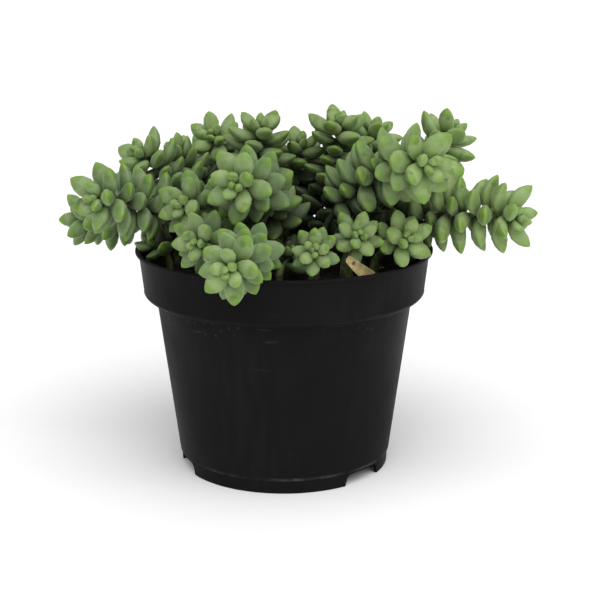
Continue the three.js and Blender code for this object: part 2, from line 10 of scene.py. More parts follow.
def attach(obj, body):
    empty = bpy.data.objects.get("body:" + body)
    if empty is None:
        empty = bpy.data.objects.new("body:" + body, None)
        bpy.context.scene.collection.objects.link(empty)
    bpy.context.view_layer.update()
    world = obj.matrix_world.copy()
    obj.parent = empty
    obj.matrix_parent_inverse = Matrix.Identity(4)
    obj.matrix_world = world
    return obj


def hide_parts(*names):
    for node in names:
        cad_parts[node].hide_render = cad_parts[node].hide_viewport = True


# Looks of a burro's tail succulent that grows in a round nursery pot.
# The plant's rule works in millimetres and every finished piece is in metres. +Z is up, -Y is the front.

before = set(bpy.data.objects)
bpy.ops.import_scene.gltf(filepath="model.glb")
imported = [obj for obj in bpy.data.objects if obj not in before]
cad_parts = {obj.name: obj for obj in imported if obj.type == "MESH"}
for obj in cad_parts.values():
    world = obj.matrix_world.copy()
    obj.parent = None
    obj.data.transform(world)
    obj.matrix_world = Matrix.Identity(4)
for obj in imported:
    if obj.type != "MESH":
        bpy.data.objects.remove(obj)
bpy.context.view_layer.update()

MM = 0.001
SEED = 2393
SCREEN_WHITE = 255
UP = np.array((0.0, 0.0, 1.0))

# Camera: the photograph's viewing angle
CAMERA_TARGET = Vector((8.1, 0, 85.4)) * MM
CAMERA_DISTANCE = 735 * MM
CAMERA_ELEVATION = 14.5
CAMERA_LENS = 85.2

# Pot
POT_HEIGHT = 114
RIM_RADIUS = 76
LIP_HEIGHT = 1.9
LIP_BEVEL = 0.4
COLLAR_TOP_RADIUS = 74.2
COLLAR_BOTTOM_RADIUS = 72
COLLAR_BOTTOM_Z = 92
SHOULDER_CORNER_RADIUS = 71.5
SHOULDER_CORNER_Z = 90
BODY_TOP_RADIUS = 65.55
BODY_TOP_Z = 87.8
BODY_BOTTOM_RADIUS = 54.95
LEDGE_Z = 7.3
FOOT_TOP_RADIUS = 54.2
FOOT_TOP_Z = 7
FOOT_RADIUS = 53.9
POT_WALL = 1.6
FOOT_INNER_RADIUS = FOOT_RADIUS - POT_WALL
BASE_UNDERSIDE_Z = 7.4
BASE_TOP_Z = BASE_UNDERSIDE_Z + POT_WALL
NOTCH_TURNS = (48.5, 168.5, 288.5)
NOTCH_WIDTH = 24
NOTCH_HEIGHT = 6
DRAIN_RADIUS = 4.5
DRAIN_CIRCLE = 40
DRAIN_COUNT = 6

# Soil
SOIL_TOP = 102
SOIL_GAP = 0.6
SOIL_RELIEF = 1.3
ROOT_DEPTH = 8.5

# Stems
STEM_SIDES = 5
STEM_RADIUS = 1.9
STEM_TIP_RADIUS = 0.85
STEM_TAPER_LENGTH = 7
STEM_STEPS = 60
STEM_START_Z = SOIL_TOP + 4
STEM_RISE = 0.42
STEM_REACH = 0.45

# Leaves: plump, pointed, set one by one round the stem at the golden angle
GOLDEN_TURN = 137.5
LEAVES_PER_ROW = 3
SIDES_PER_LEAF = 2
SIDE_TURN = 360 / STEM_SIDES
TWIST_PER_LEAF = GOLDEN_TURN - SIDES_PER_LEAF * SIDE_TURN
LEAF_LENGTH = 17.5
BUD_SHARE = 0.36
GROWN_AFTER = 4
LEAF_PITCH = 1.25
BUD_PITCH_SHARE = 0.45
FIRST_LEAF = 0.7
YOUNG_TILT = 28
OLD_TILT = 82
TILT_LEAVES = 5.5
TILT_JITTER = 4
TURN_JITTER = 3
LENGTH_JITTER = 0.08
BELLY = 0.6
BELLY_WIDTH = 0.46
BELLY_THICKNESS = 0.36
BUD_WIDTH_SHARE = 0.72
NOSE = 0.97
NOSE_WIDTH = 0.2
TOUCH = 0.0002

# Room that a leaf needs, as balls along it: (how far along, radius), as shares of its length
LEAF_BALLS = ((0.3, 0.19), (0.5, 0.25), (0.7, 0.24), (0.9, 0.14))
CLEARANCE = 0.4
STEM_BALL = 2
STEM_BALL_STEP = 2
RIM_BALL = 1.9
RIM_LOW = np.array((73.9, 90.0))
RIM_HIGH = np.array((74.3, 112.2))

# Ways to place a leaf, tried in turn: tilted, turned and shrunk
TRIES = (
    (0, 0, 1), (-10, 0, 1), (0, 10, 1), (0, -10, 1), (10, 0, 1), (-20, 0, 1), (0, 0, 0.86),
    (-10, 12, 0.9), (-10, -12, 0.9), (10, 12, 0.86), (10, -12, 0.86), (-30, 0, 0.85),
    (0, 0, 0.72), (-20, 0, 0.7), (12, 0, 0.7), (0, 0, 0.56), (-24, 0, 0.5),
)

# Odd numbers that make the drawn fractions look random
NOISE = (12.9898, 78.233, 37.719, 4.1)
NOISE_SCALE = 43758.5453

# Dry leaf: a thin cupped flake that leans on the inside of the rim
DRY_FROM = np.array((30.3, -64.4, 121.9))
DRY_TO = np.array((43.4, -56.9, 111.7))
DRY_FACE = np.array((0.3, -0.9, 0.2))
DRY_THICKNESS = 0.8
DRY_CUP = 1.1
DRY_HALF_WIDTHS = ((0, 1.7), (0.3, 3.2), (0.65, 4.6), (0.9, 3.6), (1, 1.5))

# Finer shapes for looks
ORIGIN = (0, 0, 0)
POT_SIDES = 128
SHOULDER_STEPS = 6
HUB_RADIUS = 6
COLLAR_RIDGE = ((0.1, 0.2), (0.1, 0.5), (0, 0.8))
EDGE_ROUNDING = 0.35
EDGE_STEPS = 2
EDGE_ANGLE = 35
SMOOTH_ANGLE = 32
NOTCH_CUT = FOOT_RADIUS / 4
NOTCH_ROUNDING = 3.2
NOTCH_FLARE = 1.14
NOTCH_STEPS = 4
DRAIN_SIDES = 24
SEAM = 0.01

# Model leaf: rings of (share of its length, half width, half thickness, lift of its middle)
LEAF_RINGS = (
    (0, 0.075, 0.07, 0.01), (0.13, 0.145, 0.12, -0.005), (0.32, 0.228, 0.18, -0.02),
    (0.55, 0.276, 0.205, -0.022), (0.76, 0.234, 0.167, 0), (0.9, 0.138, 0.1, 0.021),
    (0.967, 0.06, 0.045, 0.034), (1, 0.008, 0.008, 0.042),
)
LEAF_SIDES = 10
TIP_SHARE = 0.99
UPPER_FLATNESS = 0.8
UNDER_FLATNESS = 1.06
MARGIN_THINNING = 0.22

# Model leaves as (plumpness, curl), and how much wider, thicker and longer the youngest are made
LEAF_SHAPES = ((1, 1), (0.94, 1.6), (1.05, 0.4))
YOUNG_SIZES = (1.34, 1.75, 1.12)
HEART_LENGTH = 0.85
LEAF_ROLL = 9

# Stem's finer form
STEM_TIP_SHARE = 0.45
STEM_LOOK_STEPS = 24
STEM_ROUNDNESS = 2

# Crumbly soil, whose crumbs tilt by up to CRUMB_TILT in radians
SOIL_WAVES = (9, 11)
WAVE_START = 1
SOIL_RIPPLES = (4.3, 5.1)
RIPPLE_PART = 3
SOIL_RINGS = 30
SOIL_LUMPS = ((5, 0.9), (2, 0.5))
SOIL_EDGE = 1
BED_CHANCE = 0.5
CRUMB_COUNT = 420
CRUMB_SIZES = (0.5, 1.8)
CRUMB_WIDTHS = (0.6, 1.6)
CRUMB_HEIGHTS = (0.5, 0.9)
CRUMB_TILT = 1
CRUMB_ROUGHNESS = 0.25
PALE_SHARE = 0.05
PALE_SIZE = 0.8

# Dry leaf's finer form
DRY_COLUMNS = 6
DRY_ROWS = 12
DRY_WAVE = 0.35
DRY_WAVES = 7
DRY_PAPER = 0.45
DRY_UPPER_WIDTH = 1.9

# Depth in the plant, where leaves keep the light from each other; it sets the painted shade of the leaves
# and stems
HEART_DEPTH = 10
PLANT_HEART = np.array((0, 0, SOIL_TOP - HEART_DEPTH))
LEAF_COVER = 0.27
NEAREST_COVER = 0.3
SHADE_ENDS = (0.15, 0.95)


def linear(*screen):
    """A colour given as a screen shows it, turned into light."""
    return (*Color([value / SCREEN_WHITE for value in screen]).from_srgb_to_scene_linear(), 1)


# Leaf and stem colours: several tints of wax over a brighter green, and tints for painted light and shade
LEAF_GREEN = linear(86, 116, 46)
LEAF_TIP = linear(110, 144, 50)
# LEAF_DEEP: the deeper green at a leaf's root, partly the leaf's own colour and partly painted shade in the
# seam at the stem
LEAF_DEEP = linear(46, 66, 28)
WAX_YOUNG = linear(142, 165, 98)
WAX_GREY = linear(110, 132, 94)
WAX_OLD = linear(101, 124, 74)
WAX_UNDER = linear(90, 113, 69)
WAX_PALE = linear(147, 168, 121)
WAX_SHADY = linear(94, 116, 74)
WAX_SUNNY = linear(138, 162, 92)
STEM_PALE = linear(98, 114, 66)
STEM_BROWN = linear(68, 70, 42)
# Painted shade: the dark green that leaves and stems deep in the plant are tinted towards
DEEP_SHADE = linear(22, 31, 14)
BLOOM_TINT = linear(232, 244, 226)

# Where a leaf's colour changes, as shares of its length, or of its half width for the margin
TIP_FADE = (0.74, 0.92)
RUB_FADE = (0.45, 0.8)
ROOT_FADE = (0.12, 0.42)
RIM_FADE = (0.42, 0.62, 0.68, 0.84)
MARGIN_FADE = (0.88, 1)

# How bare of wax or how pale it gets there at most, and the leaf of a stem from which it is ripe
ROOT_BARE = 0.6
MOST_BARE = 0.9
RIM_WAX = 0.3
MARGIN_WAX = 0.5
RIPE_AFTER = 15

# Ramps of four values: the last two are what the first two give
RUB_CHANCE = (0.1, 0.9, 0.3, 1)
TIP_CHANCE = (0.1, 0.7, 0.55, 1)
# UNDER_WAX: painted shade that dulls the leaf's under side towards WAX_UNDER
UNDER_WAX = (-0.9, 0.6, 0.45, 0)
GRAIN_WAX = (0, 1, 0, 0.18)

# Painted light and shade across the plant, in millimetres from its middle: dull on the left, bright on the
# right, dark within
SHADY_SIDE = (-100, -20)
SHADY_SHARE = 0.42
SUNNY_SIDE = (10, 80)
SUNNY_SHARE = 0.85
INNER_REACH = (70, 105)
INNER_SHADE = 0.22
SHADE_FADE = (0.5, 0.8)
SHADE_DEPTH = 0.9

# Leaf and stem surface; a bump is its strength and its depth in millimetres
LEAF_VALUES = ("along", "over", "margin", "age", "chance", "shade", "leafy")
LEAF_CLOUD_SCALE = 170
RUB_PATCHES = (0.35, 0.9)
LEAF_ROUGHNESS = (0.62, 0.42)
LEAF_GLOSS = 0.3
LEAF_CLOUD_RELIEF = 2
LEAF_BUMP = (0.35, 0.1)
LEAF_GLOW = 0.16
GLOW_REACH = (0.5, 1, 0.3)
GLOW_DEPTH = 2
BLOOM_SHEEN = 0.22
BLOOM_SPREAD = 0.3
STEM_SCAR_SCALE = 420
STEM_SCAR_EDGES = (0.45, 0.62)

# Patterns that the materials share
CLOUD_DETAIL = 3
CLOUD_EDGES = (0.3, 0.7)
GRAIN_FINENESS = 7
SPECK_EDGE = (0.1, 0.3, 1, 0)
SPECKS_KEPT = (0.75, 0.95)
SPECK_CLOUD_SCALE = 28
SPECKS_GATHERED = (0.95, 1.15)

# Pot look, with the heights of its pale ledge band and of its dusty, scuffed shoulder in millimetres
POT_BLACK = linear(22, 22, 22)
POT_GREY = linear(27, 27, 27)
POT_DUST_AND_BAND = linear(120, 116, 108)
POT_CLOUD_SCALE = 18
POT_ROUGHNESS = (0, 1.4, 0.46, 0.62)
POT_GLOSS = 0.03
POT_GRAIN_RELIEF = 0.5
POT_BUMP = (0.25, 0.2)
FLOW_STRETCH = (1, 1, 0.03)
FLOW_SCALE = 260
LEDGE_PALE_BAND = (6.4, 7.1, 7.6, 9)
SHOULDER_SCUFFS = (78, 81.5, 89, 92)
DUST_SCALES = (560, 240)
DUST_COVER = (0, 1, 0.27, 0.53)
DUST_AND_BAND_SHARE = 0.45
SCRATCH_STRETCH = (1, 1, 9)
SCRATCH_NOISE = (60, 4, 0.7)
SCRATCH_EDGES = (0.62, 0.74)
SCUFF_COVER = (0, 1, 0.25, 1)
SCUFF_SHARE = 0.13

# Soil look
SOIL_DARK = linear(17, 15, 12)
SOIL_BROWN = linear(32, 27, 21)
SOIL_BARK = linear(56, 45, 32)
SOIL_PALE = linear(168, 164, 152)
SOIL_CLOUD_SCALE = 150
BARK_CHANCE = (0.5, 1, 0, 0.6)
SOIL_ROUGHNESS = 0.95
SOIL_GLOSS = 0.2
SOIL_BUMP = (0.8, 0.6)

# Dry leaf look, with its spot in millimetres
DRY_TAN = linear(160, 147, 100)
DRY_PALE = linear(184, 171, 124)
DRY_BROWN = linear(128, 108, 70)
DRY_DARK = linear(78, 60, 40)
DRY_CLOUD_SCALE = 260
DRY_PATCHES = (0.2, 1, 0, 0.45)
DRY_VEIN_STRETCH = (0.35, 0.35, 1)
DRY_VEIN_SCALE = 900
DRY_VEIN_EDGES = (0.35, 0.65)
DRY_SPOT = (33.2, -61.7, 119.2)
DRY_SPOT_SIZE = (0.6, 1.4)
DRY_SPOT_SHARE = 0.9
DRY_ROUGHNESS = 0.8
DRY_GLOSS = 0.25
DRY_BUMP = (0.6, 0.3)

# Stage: a floor in metres, and lights as (name, turn, height, strength, spread) in degrees
FLOOR_SIZE = 40
FLOOR_WHITE = linear(250, 250, 250)
WORLD_LIGHT = 0.52
LIGHTS = (("key", 8, 60, 2.1, 74), ("fill", 38, 40, 0.42, 80))


# Leafy stems: root on the soil, tip, way the tip points, leaves, leaf size, turn and hand
TAILS = (
    ("far_left", (-46, -4), (-91, -32, 144), (-0.5, -0.85, 0.2), 32, 1.1, 0, 1),
    ("left_high", (-40, 12), (-75.5, 20, 158.5), (-0.55, -0.5, 0.65), 36, 1.08, 30, 1),
    ("left_back", (-34, 30), (-60, 44, 157), (-0.6, 0.1, 0.77), 28, 0.95, 60, -1),
    ("back_left_high", (-20, 34), (-39, 50, 164), (-0.15, -0.85, 0.5), 30, 1, 90, 1),
    ("middle_high", (-8, 6), (-12, 6, 175), (0.1, -0.3, 0.95), 40, 1, 120, 1),
    ("front_face", (-2, -16), (-21.5, -64, 157), (-0.3, -0.94, 0.12), 46, 1.05, 150, 1),
    ("left_low", (-30, -18), (-48.5, -44, 144), (-0.5, -0.85, 0.15), 32, 0.95, 0, -1),
    ("left_rim", (-28, -36), (-40, -66, 130), (-0.4, -0.9, 0.1), 26, 0.9, 40, 1),
    ("over_rim", (-12, -48), (-23.5, -102, 125.5), (-0.3, -0.95, 0), 33, 0.94, 80, 1),
    ("front_bud", (14, -50), (14.6, -72, 127.5), (-0.1, -0.9, 0.42), 14, 0.7, 120, -1),
    ("right_bud", (32, -38), (35.8, -58, 132), (0.1, -0.88, 0.45), 14, 0.78, 10, 1),
    ("right_rim", (44, -28), (60, -48, 128), (0.25, -0.88, 0.4), 15, 0.9, 50, -1),
    ("top", (16, 8), (28, 14, 176), (0.05, -0.3, 0.95), 48, 1, 90, 1),
    ("top_back", (24, 34), (49, 54, 168), (0.35, -0.1, 0.93), 32, 1, 20, -1),
    ("right_face", (16, -20), (68, -56, 165.5), (0.4, -0.91, 0.05), 48, 1.08, 60, 1),
    ("right_high", (40, 10), (86, 14, 172), (0.5, 0.3, 0.8), 34, 1.05, 100, 1),
    ("far_right", (46, -10), (114, -30, 134.5), (0.72, -0.68, 0.06), 44, 1.1, 140, 1),
    ("back_far_left", (-48, 26), (-113.5, 56, 117), (-0.85, 0.5, -0.1), 28, 1, 0, 1),
    ("back_left", (-26, 46), (-46, 92, 146), (-0.4, 0.9, 0), 28, 1, 50, -1),
    ("back_middle", (0, 48), (-4, 103, 128), (-0.05, 0.98, -0.1), 28, 1, 100, 1),
    ("back_right", (26, 48), (44, 92, 134), (0.4, 0.9, 0.05), 28, 1, 150, 1),
    ("back_far_right", (50, 26), (90, 62, 134), (0.78, 0.6, 0.05), 28, 1, 20, -1),
    ("inner_left", (-14, 22), (-22, 36, 142), (-0.3, 0.5, 0.8), 20, 0.95, 70, 1),
    ("inner_right", (36, 22), (64, 38, 146), (0.6, 0.45, 0.66), 28, 0.95, 110, 1),
    ("shoot_left", (-58, -10), (-66, -12, 119), (-0.5, -0.4, 0.76), 12, 0.9, 15, 1),
    ("shoot_front", (-2, -34), (4, -31, 118), (0.1, -0.6, 0.8), 10, 0.85, 45, -1),
    ("shoot_middle", (30, -22), (40, -16, 134), (0.2, -0.5, 0.8), 20, 0.95, 75, 1),
    ("shoot_right", (58, 2), (66, 4, 124), (0.4, 0.1, 0.9), 16, 0.9, 105, 1),
    ("shoot_centre", (4, 28), (8, 26, 163), (0.15, -0.3, 0.9), 36, 0.98, 135, -1),
    ("shoot_back", (-56, 6), (-62, 8, 122), (-0.4, 0.1, 0.9), 14, 0.9, 165, 1),
    ("shoot_rim", (18, 60), (20, 62, 148), (0.1, -0.2, 0.95), 22, 0.95, 30, 1),
    ("shoot_corner", (44, 46), (52, 50, 129), (0.3, 0.2, 0.9), 18, 0.95, 60, -1),
)


# Growth: the same seeded rule that the frame's leafy stems follow, so every leaf lands on its own


def draw(first, second, third):
    """A fraction from 0 to 1 that looks random and is the same in every run."""
    by_first, by_second, by_third, shift = NOISE
    wave = math.sin(first * by_first + second * by_second + third * by_third + shift) * NOISE_SCALE
    return wave - math.floor(wave)


def jitter(first, second, third, spread):
    return (2 * draw(first, second, third) - 1) * spread


def unit(vector):
    return vector / np.linalg.norm(vector)


def bezier(a, b, c, d, t):
    u = 1 - t
    return a * u * u * u + b * 3 * u * u * t + c * 3 * u * t * t + d * t * t * t


def stem_handles(stem):
    """The stem's start above the soil, and the handles of the arch from its tip to there."""
    start = np.array((*stem.root, STEM_START_Z), float)
    span = np.linalg.norm(start - stem.tip)
    above = start + UP * STEM_RISE * span
    behind = stem.tip - stem.aim * STEM_REACH * span
    return start, above, behind


def stem_line(stem):
    """Points from the tip down, with their distance, the way up the stem and an unrolled side."""
    start, above, behind = stem_handles(stem)
    at = [bezier(stem.tip, behind, above, start, i / STEM_STEPS) for i in range(STEM_STEPS + 1)]
    at.append(np.array((*stem.root, SOIL_TOP - ROOT_DEPTH), float))
    at = np.array(at)
    steps = np.linalg.norm(np.diff(at, axis=0), axis=1)
    ahead = []
    side = []
    last_side = unit(np.cross(stem.aim, UP))
    for i in range(len(at)):
        way = unit(at[max(i - 1, 0)] - at[min(i + 1, len(at) - 1)])
        last_side = unit(last_side - way * last_side.dot(way))
        ahead.append(way)
        side.append(last_side)
    along = np.concatenate(((0.0,), np.cumsum(steps)))
    return SimpleNamespace(at=at, along=along, ahead=np.array(ahead), side=np.array(side))


def stem_at(line, along):
    i = int(np.clip(np.searchsorted(line.along, along), 1, len(line.along) - 1))
    share = (along - line.along[i - 1]) / (line.along[i] - line.along[i - 1])
    between = [values[i - 1] + (values[i] - values[i - 1]) * share
               for values in (line.at, line.ahead, line.side)]
    return SimpleNamespace(at=between[0], ahead=unit(between[1]), side=unit(between[2]))


def stem_radius(along):
    return STEM_RADIUS - (STEM_RADIUS - STEM_TIP_RADIUS) * math.exp(-along / STEM_TAPER_LENGTH)


def outward(place, turn):
    """The vector that stands out of the stem at a turn about it, in degrees."""
    across = np.cross(place.ahead, place.side)
    return place.side * math.cos(math.radians(turn)) + across * math.sin(math.radians(turn))


def grown(rank):
    return 1 - math.exp(-((rank / GROWN_AFTER) ** 2))


def leaf_stations(stem):
    """How far each leaf's root is from the tip."""
    stations = []
    along = FIRST_LEAF * stem.size
    for rank in range(stem.leaves):
        stations.append(along)
        along += LEAF_PITCH * stem.size * (BUD_PITCH_SHARE + (1 - BUD_PITCH_SHARE) * grown(rank))
    return stations


def row_start(stem, rank):
    """Where a row of the stem's faces starts; the last row of all ends one leaf's pitch past the oldest."""
    if rank == 0:
        return stem.stations[0] / 2
    if rank < stem.leaves:
        return (stem.stations[rank - 1] + stem.stations[rank]) / 2
    return stem.stations[-1] + LEAF_PITCH * stem.size


def stem_ring(stem, along, twist):
    place = stem_at(stem.line, along)
    turns = [stem.hand * (stem.turn + twist + (i - 0.5) * SIDE_TURN) for i in range(STEM_SIDES)]
    return [place.at + outward(place, turn) * stem_radius(along) for turn in turns]


def stem_rings(stem):
    rings = []
    for row in range(math.ceil(stem.leaves / LEAVES_PER_ROW) + 1):
        rank = row * LEAVES_PER_ROW
        rings.append(stem_ring(stem, row_start(stem, rank), TWIST_PER_LEAF * (rank - 0.5)))
    return rings


def leaf_root(stem, rank):
    """The corners of the stem's face under a leaf."""
    row = rank // LEAVES_PER_ROW
    left = (SIDES_PER_LEAF * rank) % STEM_SIDES
    right = (left + 1) % STEM_SIDES
    upper = stem.rings[row]
    lower = stem.rings[row + 1]
    return [upper[left], upper[right], lower[right], lower[left]]


def leaf_edges(root, ring, tip):
    edges = [tip[1] - tip[0]]
    for i in range(4):
        following = (i + 1) % 4
        nearest_tip = tip[1] if i in (1, 2) else tip[0]
        edges += [ring[i] - root[i], root[following] - root[i], ring[i] - root[following],
                  ring[following] - ring[i], nearest_tip - ring[i]]
    return np.array([unit(edge) for edge in edges])


def own_axes(edges):
    first, second = np.triu_indices(len(edges), 1)
    return unit_crosses(edges[first], edges[second])


def place_leaf(stem, rank, change):
    """A leaf from its rank on the stem: the older it is, the longer it is and the more it leans."""
    tilt_more, turn_more, shrink = change
    station = stem.stations[rank]
    place = stem_at(stem.line, station)
    age = grown(rank)
    tilt = (YOUNG_TILT + (OLD_TILT - YOUNG_TILT) * (1 - math.exp(-rank / TILT_LEAVES))
            + jitter(stem.number, rank, 1, TILT_JITTER) * age + tilt_more)
    turn = (stem.hand * (stem.turn + rank * GOLDEN_TURN)
            + jitter(stem.number, rank, 2, TURN_JITTER) + turn_more)
    length = (LEAF_LENGTH * stem.size * shrink * (BUD_SHARE + (1 - BUD_SHARE) * age)
              * (1 + jitter(stem.number, rank, 3, LENGTH_JITTER)))
    out = outward(place, turn)
    along = place.ahead * math.cos(math.radians(tilt)) + out * math.sin(math.radians(tilt))
    base = place.at + out * stem_radius(station) / 2
    right = np.cross(place.ahead, out) * stem.hand
    over = np.cross(along, right) * stem.hand
    plump = BUD_WIDTH_SHARE + (1 - BUD_WIDTH_SHARE) * age
    wide = right * length * BELLY_WIDTH * plump / 2
    thick = over * length * BELLY_THICKNESS * plump / 2
    belly = base + along * length * BELLY
    nose = base + along * length * NOSE
    nose_wide = right * length * NOSE_WIDTH / 2
    root = leaf_root(stem, rank)
    ring = [belly + thick - wide, belly + thick + wide, belly - thick + wide, belly - thick - wide]
    tip = [nose - nose_wide, nose + nose_wide]
    edges = leaf_edges(root, ring, tip)
    return SimpleNamespace(
        number=stem.number, rank=rank, age=age, base=base, along=along, over=over, length=length,
        plump=plump, belly=belly, points=np.array(root + ring + tip), edges=edges, axes=own_axes(edges))


def dry_leaf_ways():
    """The way along the dry leaf at its full length, across it and out of its face."""
    along = DRY_TO - DRY_FROM
    across = unit(np.cross(DRY_FACE, along))
    return along, across, unit(np.cross(along, across))


def dry_leaf_rows(side):
    """The dry leaf's points, in rows across it, on its front or its back."""
    along, across, face = dry_leaf_ways()
    rows = []
    for share, half_width in DRY_HALF_WIDTHS:
        middle = DRY_FROM + along * share
        rows.append([middle + across * edge * half_width
                     + face * (side * DRY_THICKNESS / 2 - (DRY_CUP if edge == 0 else 0))
                     for edge in (-1, 0, 1)])
    return rows


def dry_leaf_room():
    along, across, _ = dry_leaf_ways()
    edges = np.array((unit(along), across, unit(DRY_FACE)))
    points = np.array(dry_leaf_rows(1) + dry_leaf_rows(-1)).reshape(-1, 3)
    return SimpleNamespace(number=-1, belly=DRY_FROM + along * BELLY, axes=own_axes(edges),
                           length=np.linalg.norm(along), points=points, edges=edges)


def unit_crosses(first, second):
    """Unit vectors that are square to both; nan where the two run almost the same way."""
    axes = np.cross(first, second)
    squares = (axes * axes).sum(-1, keepdims=True)
    return np.where(squares > TOUCH, axes / np.sqrt(np.maximum(squares, TOUCH)), np.nan)


def gaps_along(axes, points, others):
    """How far apart two sets of points are along each axis."""
    ways = np.swapaxes(axes, -1, -2)
    places = points @ ways
    other_places = others @ ways
    return np.fmax(places.min(-2) - other_places.max(-2), other_places.min(-2) - places.max(-2))


class Crowd:
    """Leaves already placed, kept as arrays so that a new leaf is held against many at once."""

    def __init__(self, most):
        self.most = most
        self.count = 0
        self.kept = {}

    def add(self, leaf):
        for name in ("number", "belly", "length", "points", "edges", "axes"):
            value = np.asarray(getattr(leaf, name))
            if name not in self.kept:
                self.kept[name] = np.zeros((self.most, *value.shape), value.dtype)
            self.kept[name][self.count] = value
        self.count += 1

    def is_parted_from(self, leaf):
        """Whether a plane can stand between the leaf and each of the others, along two of their edges."""
        held = SimpleNamespace(**{name: values[:self.count] for name, values in self.kept.items()})
        apart = np.linalg.norm(held.belly - leaf.belly, axis=1)
        near = np.flatnonzero(apart <= leaf.length + held.length)
        gap = np.where(held.number[near] == leaf.number, -TOUCH, CLEARANCE)[:, None]
        parted = (gaps_along(leaf.axes, leaf.points, held.points[near]) > gap).any(1)
        near, gap = near[~parted], gap[~parted]
        parted = (gaps_along(held.axes[near], leaf.points, held.points[near]) > gap).any(1)
        near, gap = near[~parted], gap[~parted]
        between = unit_crosses(leaf.edges[None, :, None], held.edges[near][:, None])
        between = between.reshape(len(near), len(leaf.edges) * held.edges.shape[1], 3)
        return (gaps_along(between, leaf.points, held.points[near]) > gap).any(1).all()


def rim_distance(point):
    flat = np.array((math.hypot(point[0], point[1]), point[2]))
    wall = RIM_HIGH - RIM_LOW
    share = np.clip((flat - RIM_LOW).dot(wall) / wall.dot(wall), 0, 1)
    return np.linalg.norm(flat - RIM_LOW - wall * share)


def is_free(leaf, stem_balls, ball_numbers):
    """Whether a leaf is clear of the rim, the soil and the other stems."""
    for share, radius in LEAF_BALLS:
        at = leaf.base + leaf.along * leaf.length * share
        room = radius * leaf.length + CLEARANCE
        over_soil = math.hypot(at[0], at[1]) < RIM_RADIUS
        if rim_distance(at) < room + RIM_BALL:
            return False
        if over_soil and at[2] < room + SOIL_TOP + 2 * SOIL_RELIEF:
            return False
        apart = np.linalg.norm(stem_balls - at, axis=1)
        if (apart[ball_numbers != leaf.number] < room + STEM_BALL).any():
            return False
    return True


def grow_leaves(stems):
    """Leaves are placed from the tips down, a rank at a time on all stems together."""
    balls = [(stem_at(stem.line, along).at, stem.number)
             for stem in stems for along in np.arange(0, stem.line.along[-1], STEM_BALL_STEP)]
    stem_balls, ball_numbers = (np.array(values) for values in zip(*balls))
    shed = Crowd(1)
    shed.add(dry_leaf_room())
    placed = Crowd(sum(len(stem.stations) for stem in stems))

    def fits(leaf):
        return (is_free(leaf, stem_balls, ball_numbers)
                and (placed.count == 0 or placed.is_parted_from(leaf)) and shed.is_parted_from(leaf))

    for rank in range(max(stem.leaves for stem in stems)):
        for stem in stems:
            if rank >= stem.leaves:
                continue
            tries = (place_leaf(stem, rank, change) for change in TRIES)
            leaf = next((leaf for leaf in tries if fits(leaf)), None)
            if leaf is not None:
                stem.grown.append(leaf)
                placed.add(leaf)


def make_stems():
    stems = []
    for number, (name, root, tip, aim, leaves, size, turn, hand) in enumerate(TAILS):
        stem = SimpleNamespace(
            name=name, number=number, root=root, tip=np.array(tip, float), aim=unit(np.array(aim)),
            leaves=leaves, size=size, turn=turn, hand=hand, grown=[])
        stem.line = stem_line(stem)
        stem.stations = leaf_stations(stem)
        stem.rings = stem_rings(stem)
        stems.append(stem)
    grow_leaves(stems)
    return stems


# Modelling helpers


def add_new(operator, **settings):
    """A new object from a primitive, with nothing else selected."""
    bpy.ops.object.select_all(action="DESELECT")
    operator(**settings)
    return bpy.context.active_object


def pick(pieces):
    bpy.ops.object.select_all(action="DESELECT")
    for piece in pieces:
        piece.select_set(True)
    bpy.context.view_layer.objects.active = pieces[0]


def open_edit(piece):
    pick([piece])
    bpy.ops.object.mode_set(mode="EDIT")
    bpy.ops.mesh.select_all(action="SELECT")


def close_edit():
    bpy.ops.mesh.select_all(action="SELECT")
    bpy.ops.mesh.normals_make_consistent(inside=False)
    bpy.ops.object.mode_set(mode="OBJECT")


def select_where(piece, kind, wanted):
    """Selects the points or edges of an open piece that a rule wants, and nothing else."""
    bpy.ops.mesh.select_mode(type=kind)
    bpy.ops.mesh.select_all(action="DESELECT")
    bpy.ops.object.mode_set(mode="OBJECT")
    for part in piece.data.edges if kind == "EDGE" else piece.data.vertices:
        part.select = wanted(part)
    bpy.ops.object.mode_set(mode="EDIT")


def smooth(piece):
    pick([piece])
    bpy.ops.object.shade_smooth()


def raise_ring(before, after):
    """Extrudes the open ring from one (width, depth, side step, height) to the next."""
    width, depth, side, height = after
    step = (0, side - before[2], height - before[3])
    bpy.ops.mesh.extrude_region_move(TRANSFORM_OT_translate={"value": step})
    bpy.ops.transform.resize(value=(width / before[0], depth / before[1], 1),
                             center_override=(0, side, height))


def loft(name, rings, sides):
    """A closed body through rings of (width, depth, side step, height), in metres or in units."""
    piece = add_new(bpy.ops.mesh.primitive_circle_add, vertices=sides, radius=1, fill_type="NGON")
    piece.name = name
    open_edit(piece)
    width, depth, side, height = rings[0]
    bpy.ops.transform.resize(value=(width, depth, 1), center_override=ORIGIN)
    bpy.ops.transform.translate(value=(0, side, height))
    for before, after in zip(rings, rings[1:]):
        raise_ring(before, after)
    close_edit()
    return piece


def apply_modifier(piece, kind, **settings):
    modifier = piece.modifiers.new(kind, kind)
    for name, value in settings.items():
        setattr(modifier, name, value)
    pick([piece])
    bpy.ops.object.modifier_apply(modifier=modifier.name)


def join(pieces, name):
    pick(pieces)
    bpy.ops.object.join()
    joined = bpy.context.active_object
    joined.name = name
    joined.data.name = name
    return joined


def set_values(mesh, name, values):
    """A number for each point of a mesh, for its material to read."""
    layer = mesh.attributes.get(name) or mesh.attributes.new(name, "FLOAT", "POINT")
    layer.data.foreach_set("value", np.resize(np.array(values, float), len(mesh.vertices)))


def add_copy(name, mesh):
    piece = bpy.data.objects.new(name, mesh)
    bpy.context.collection.objects.link(piece)
    return piece


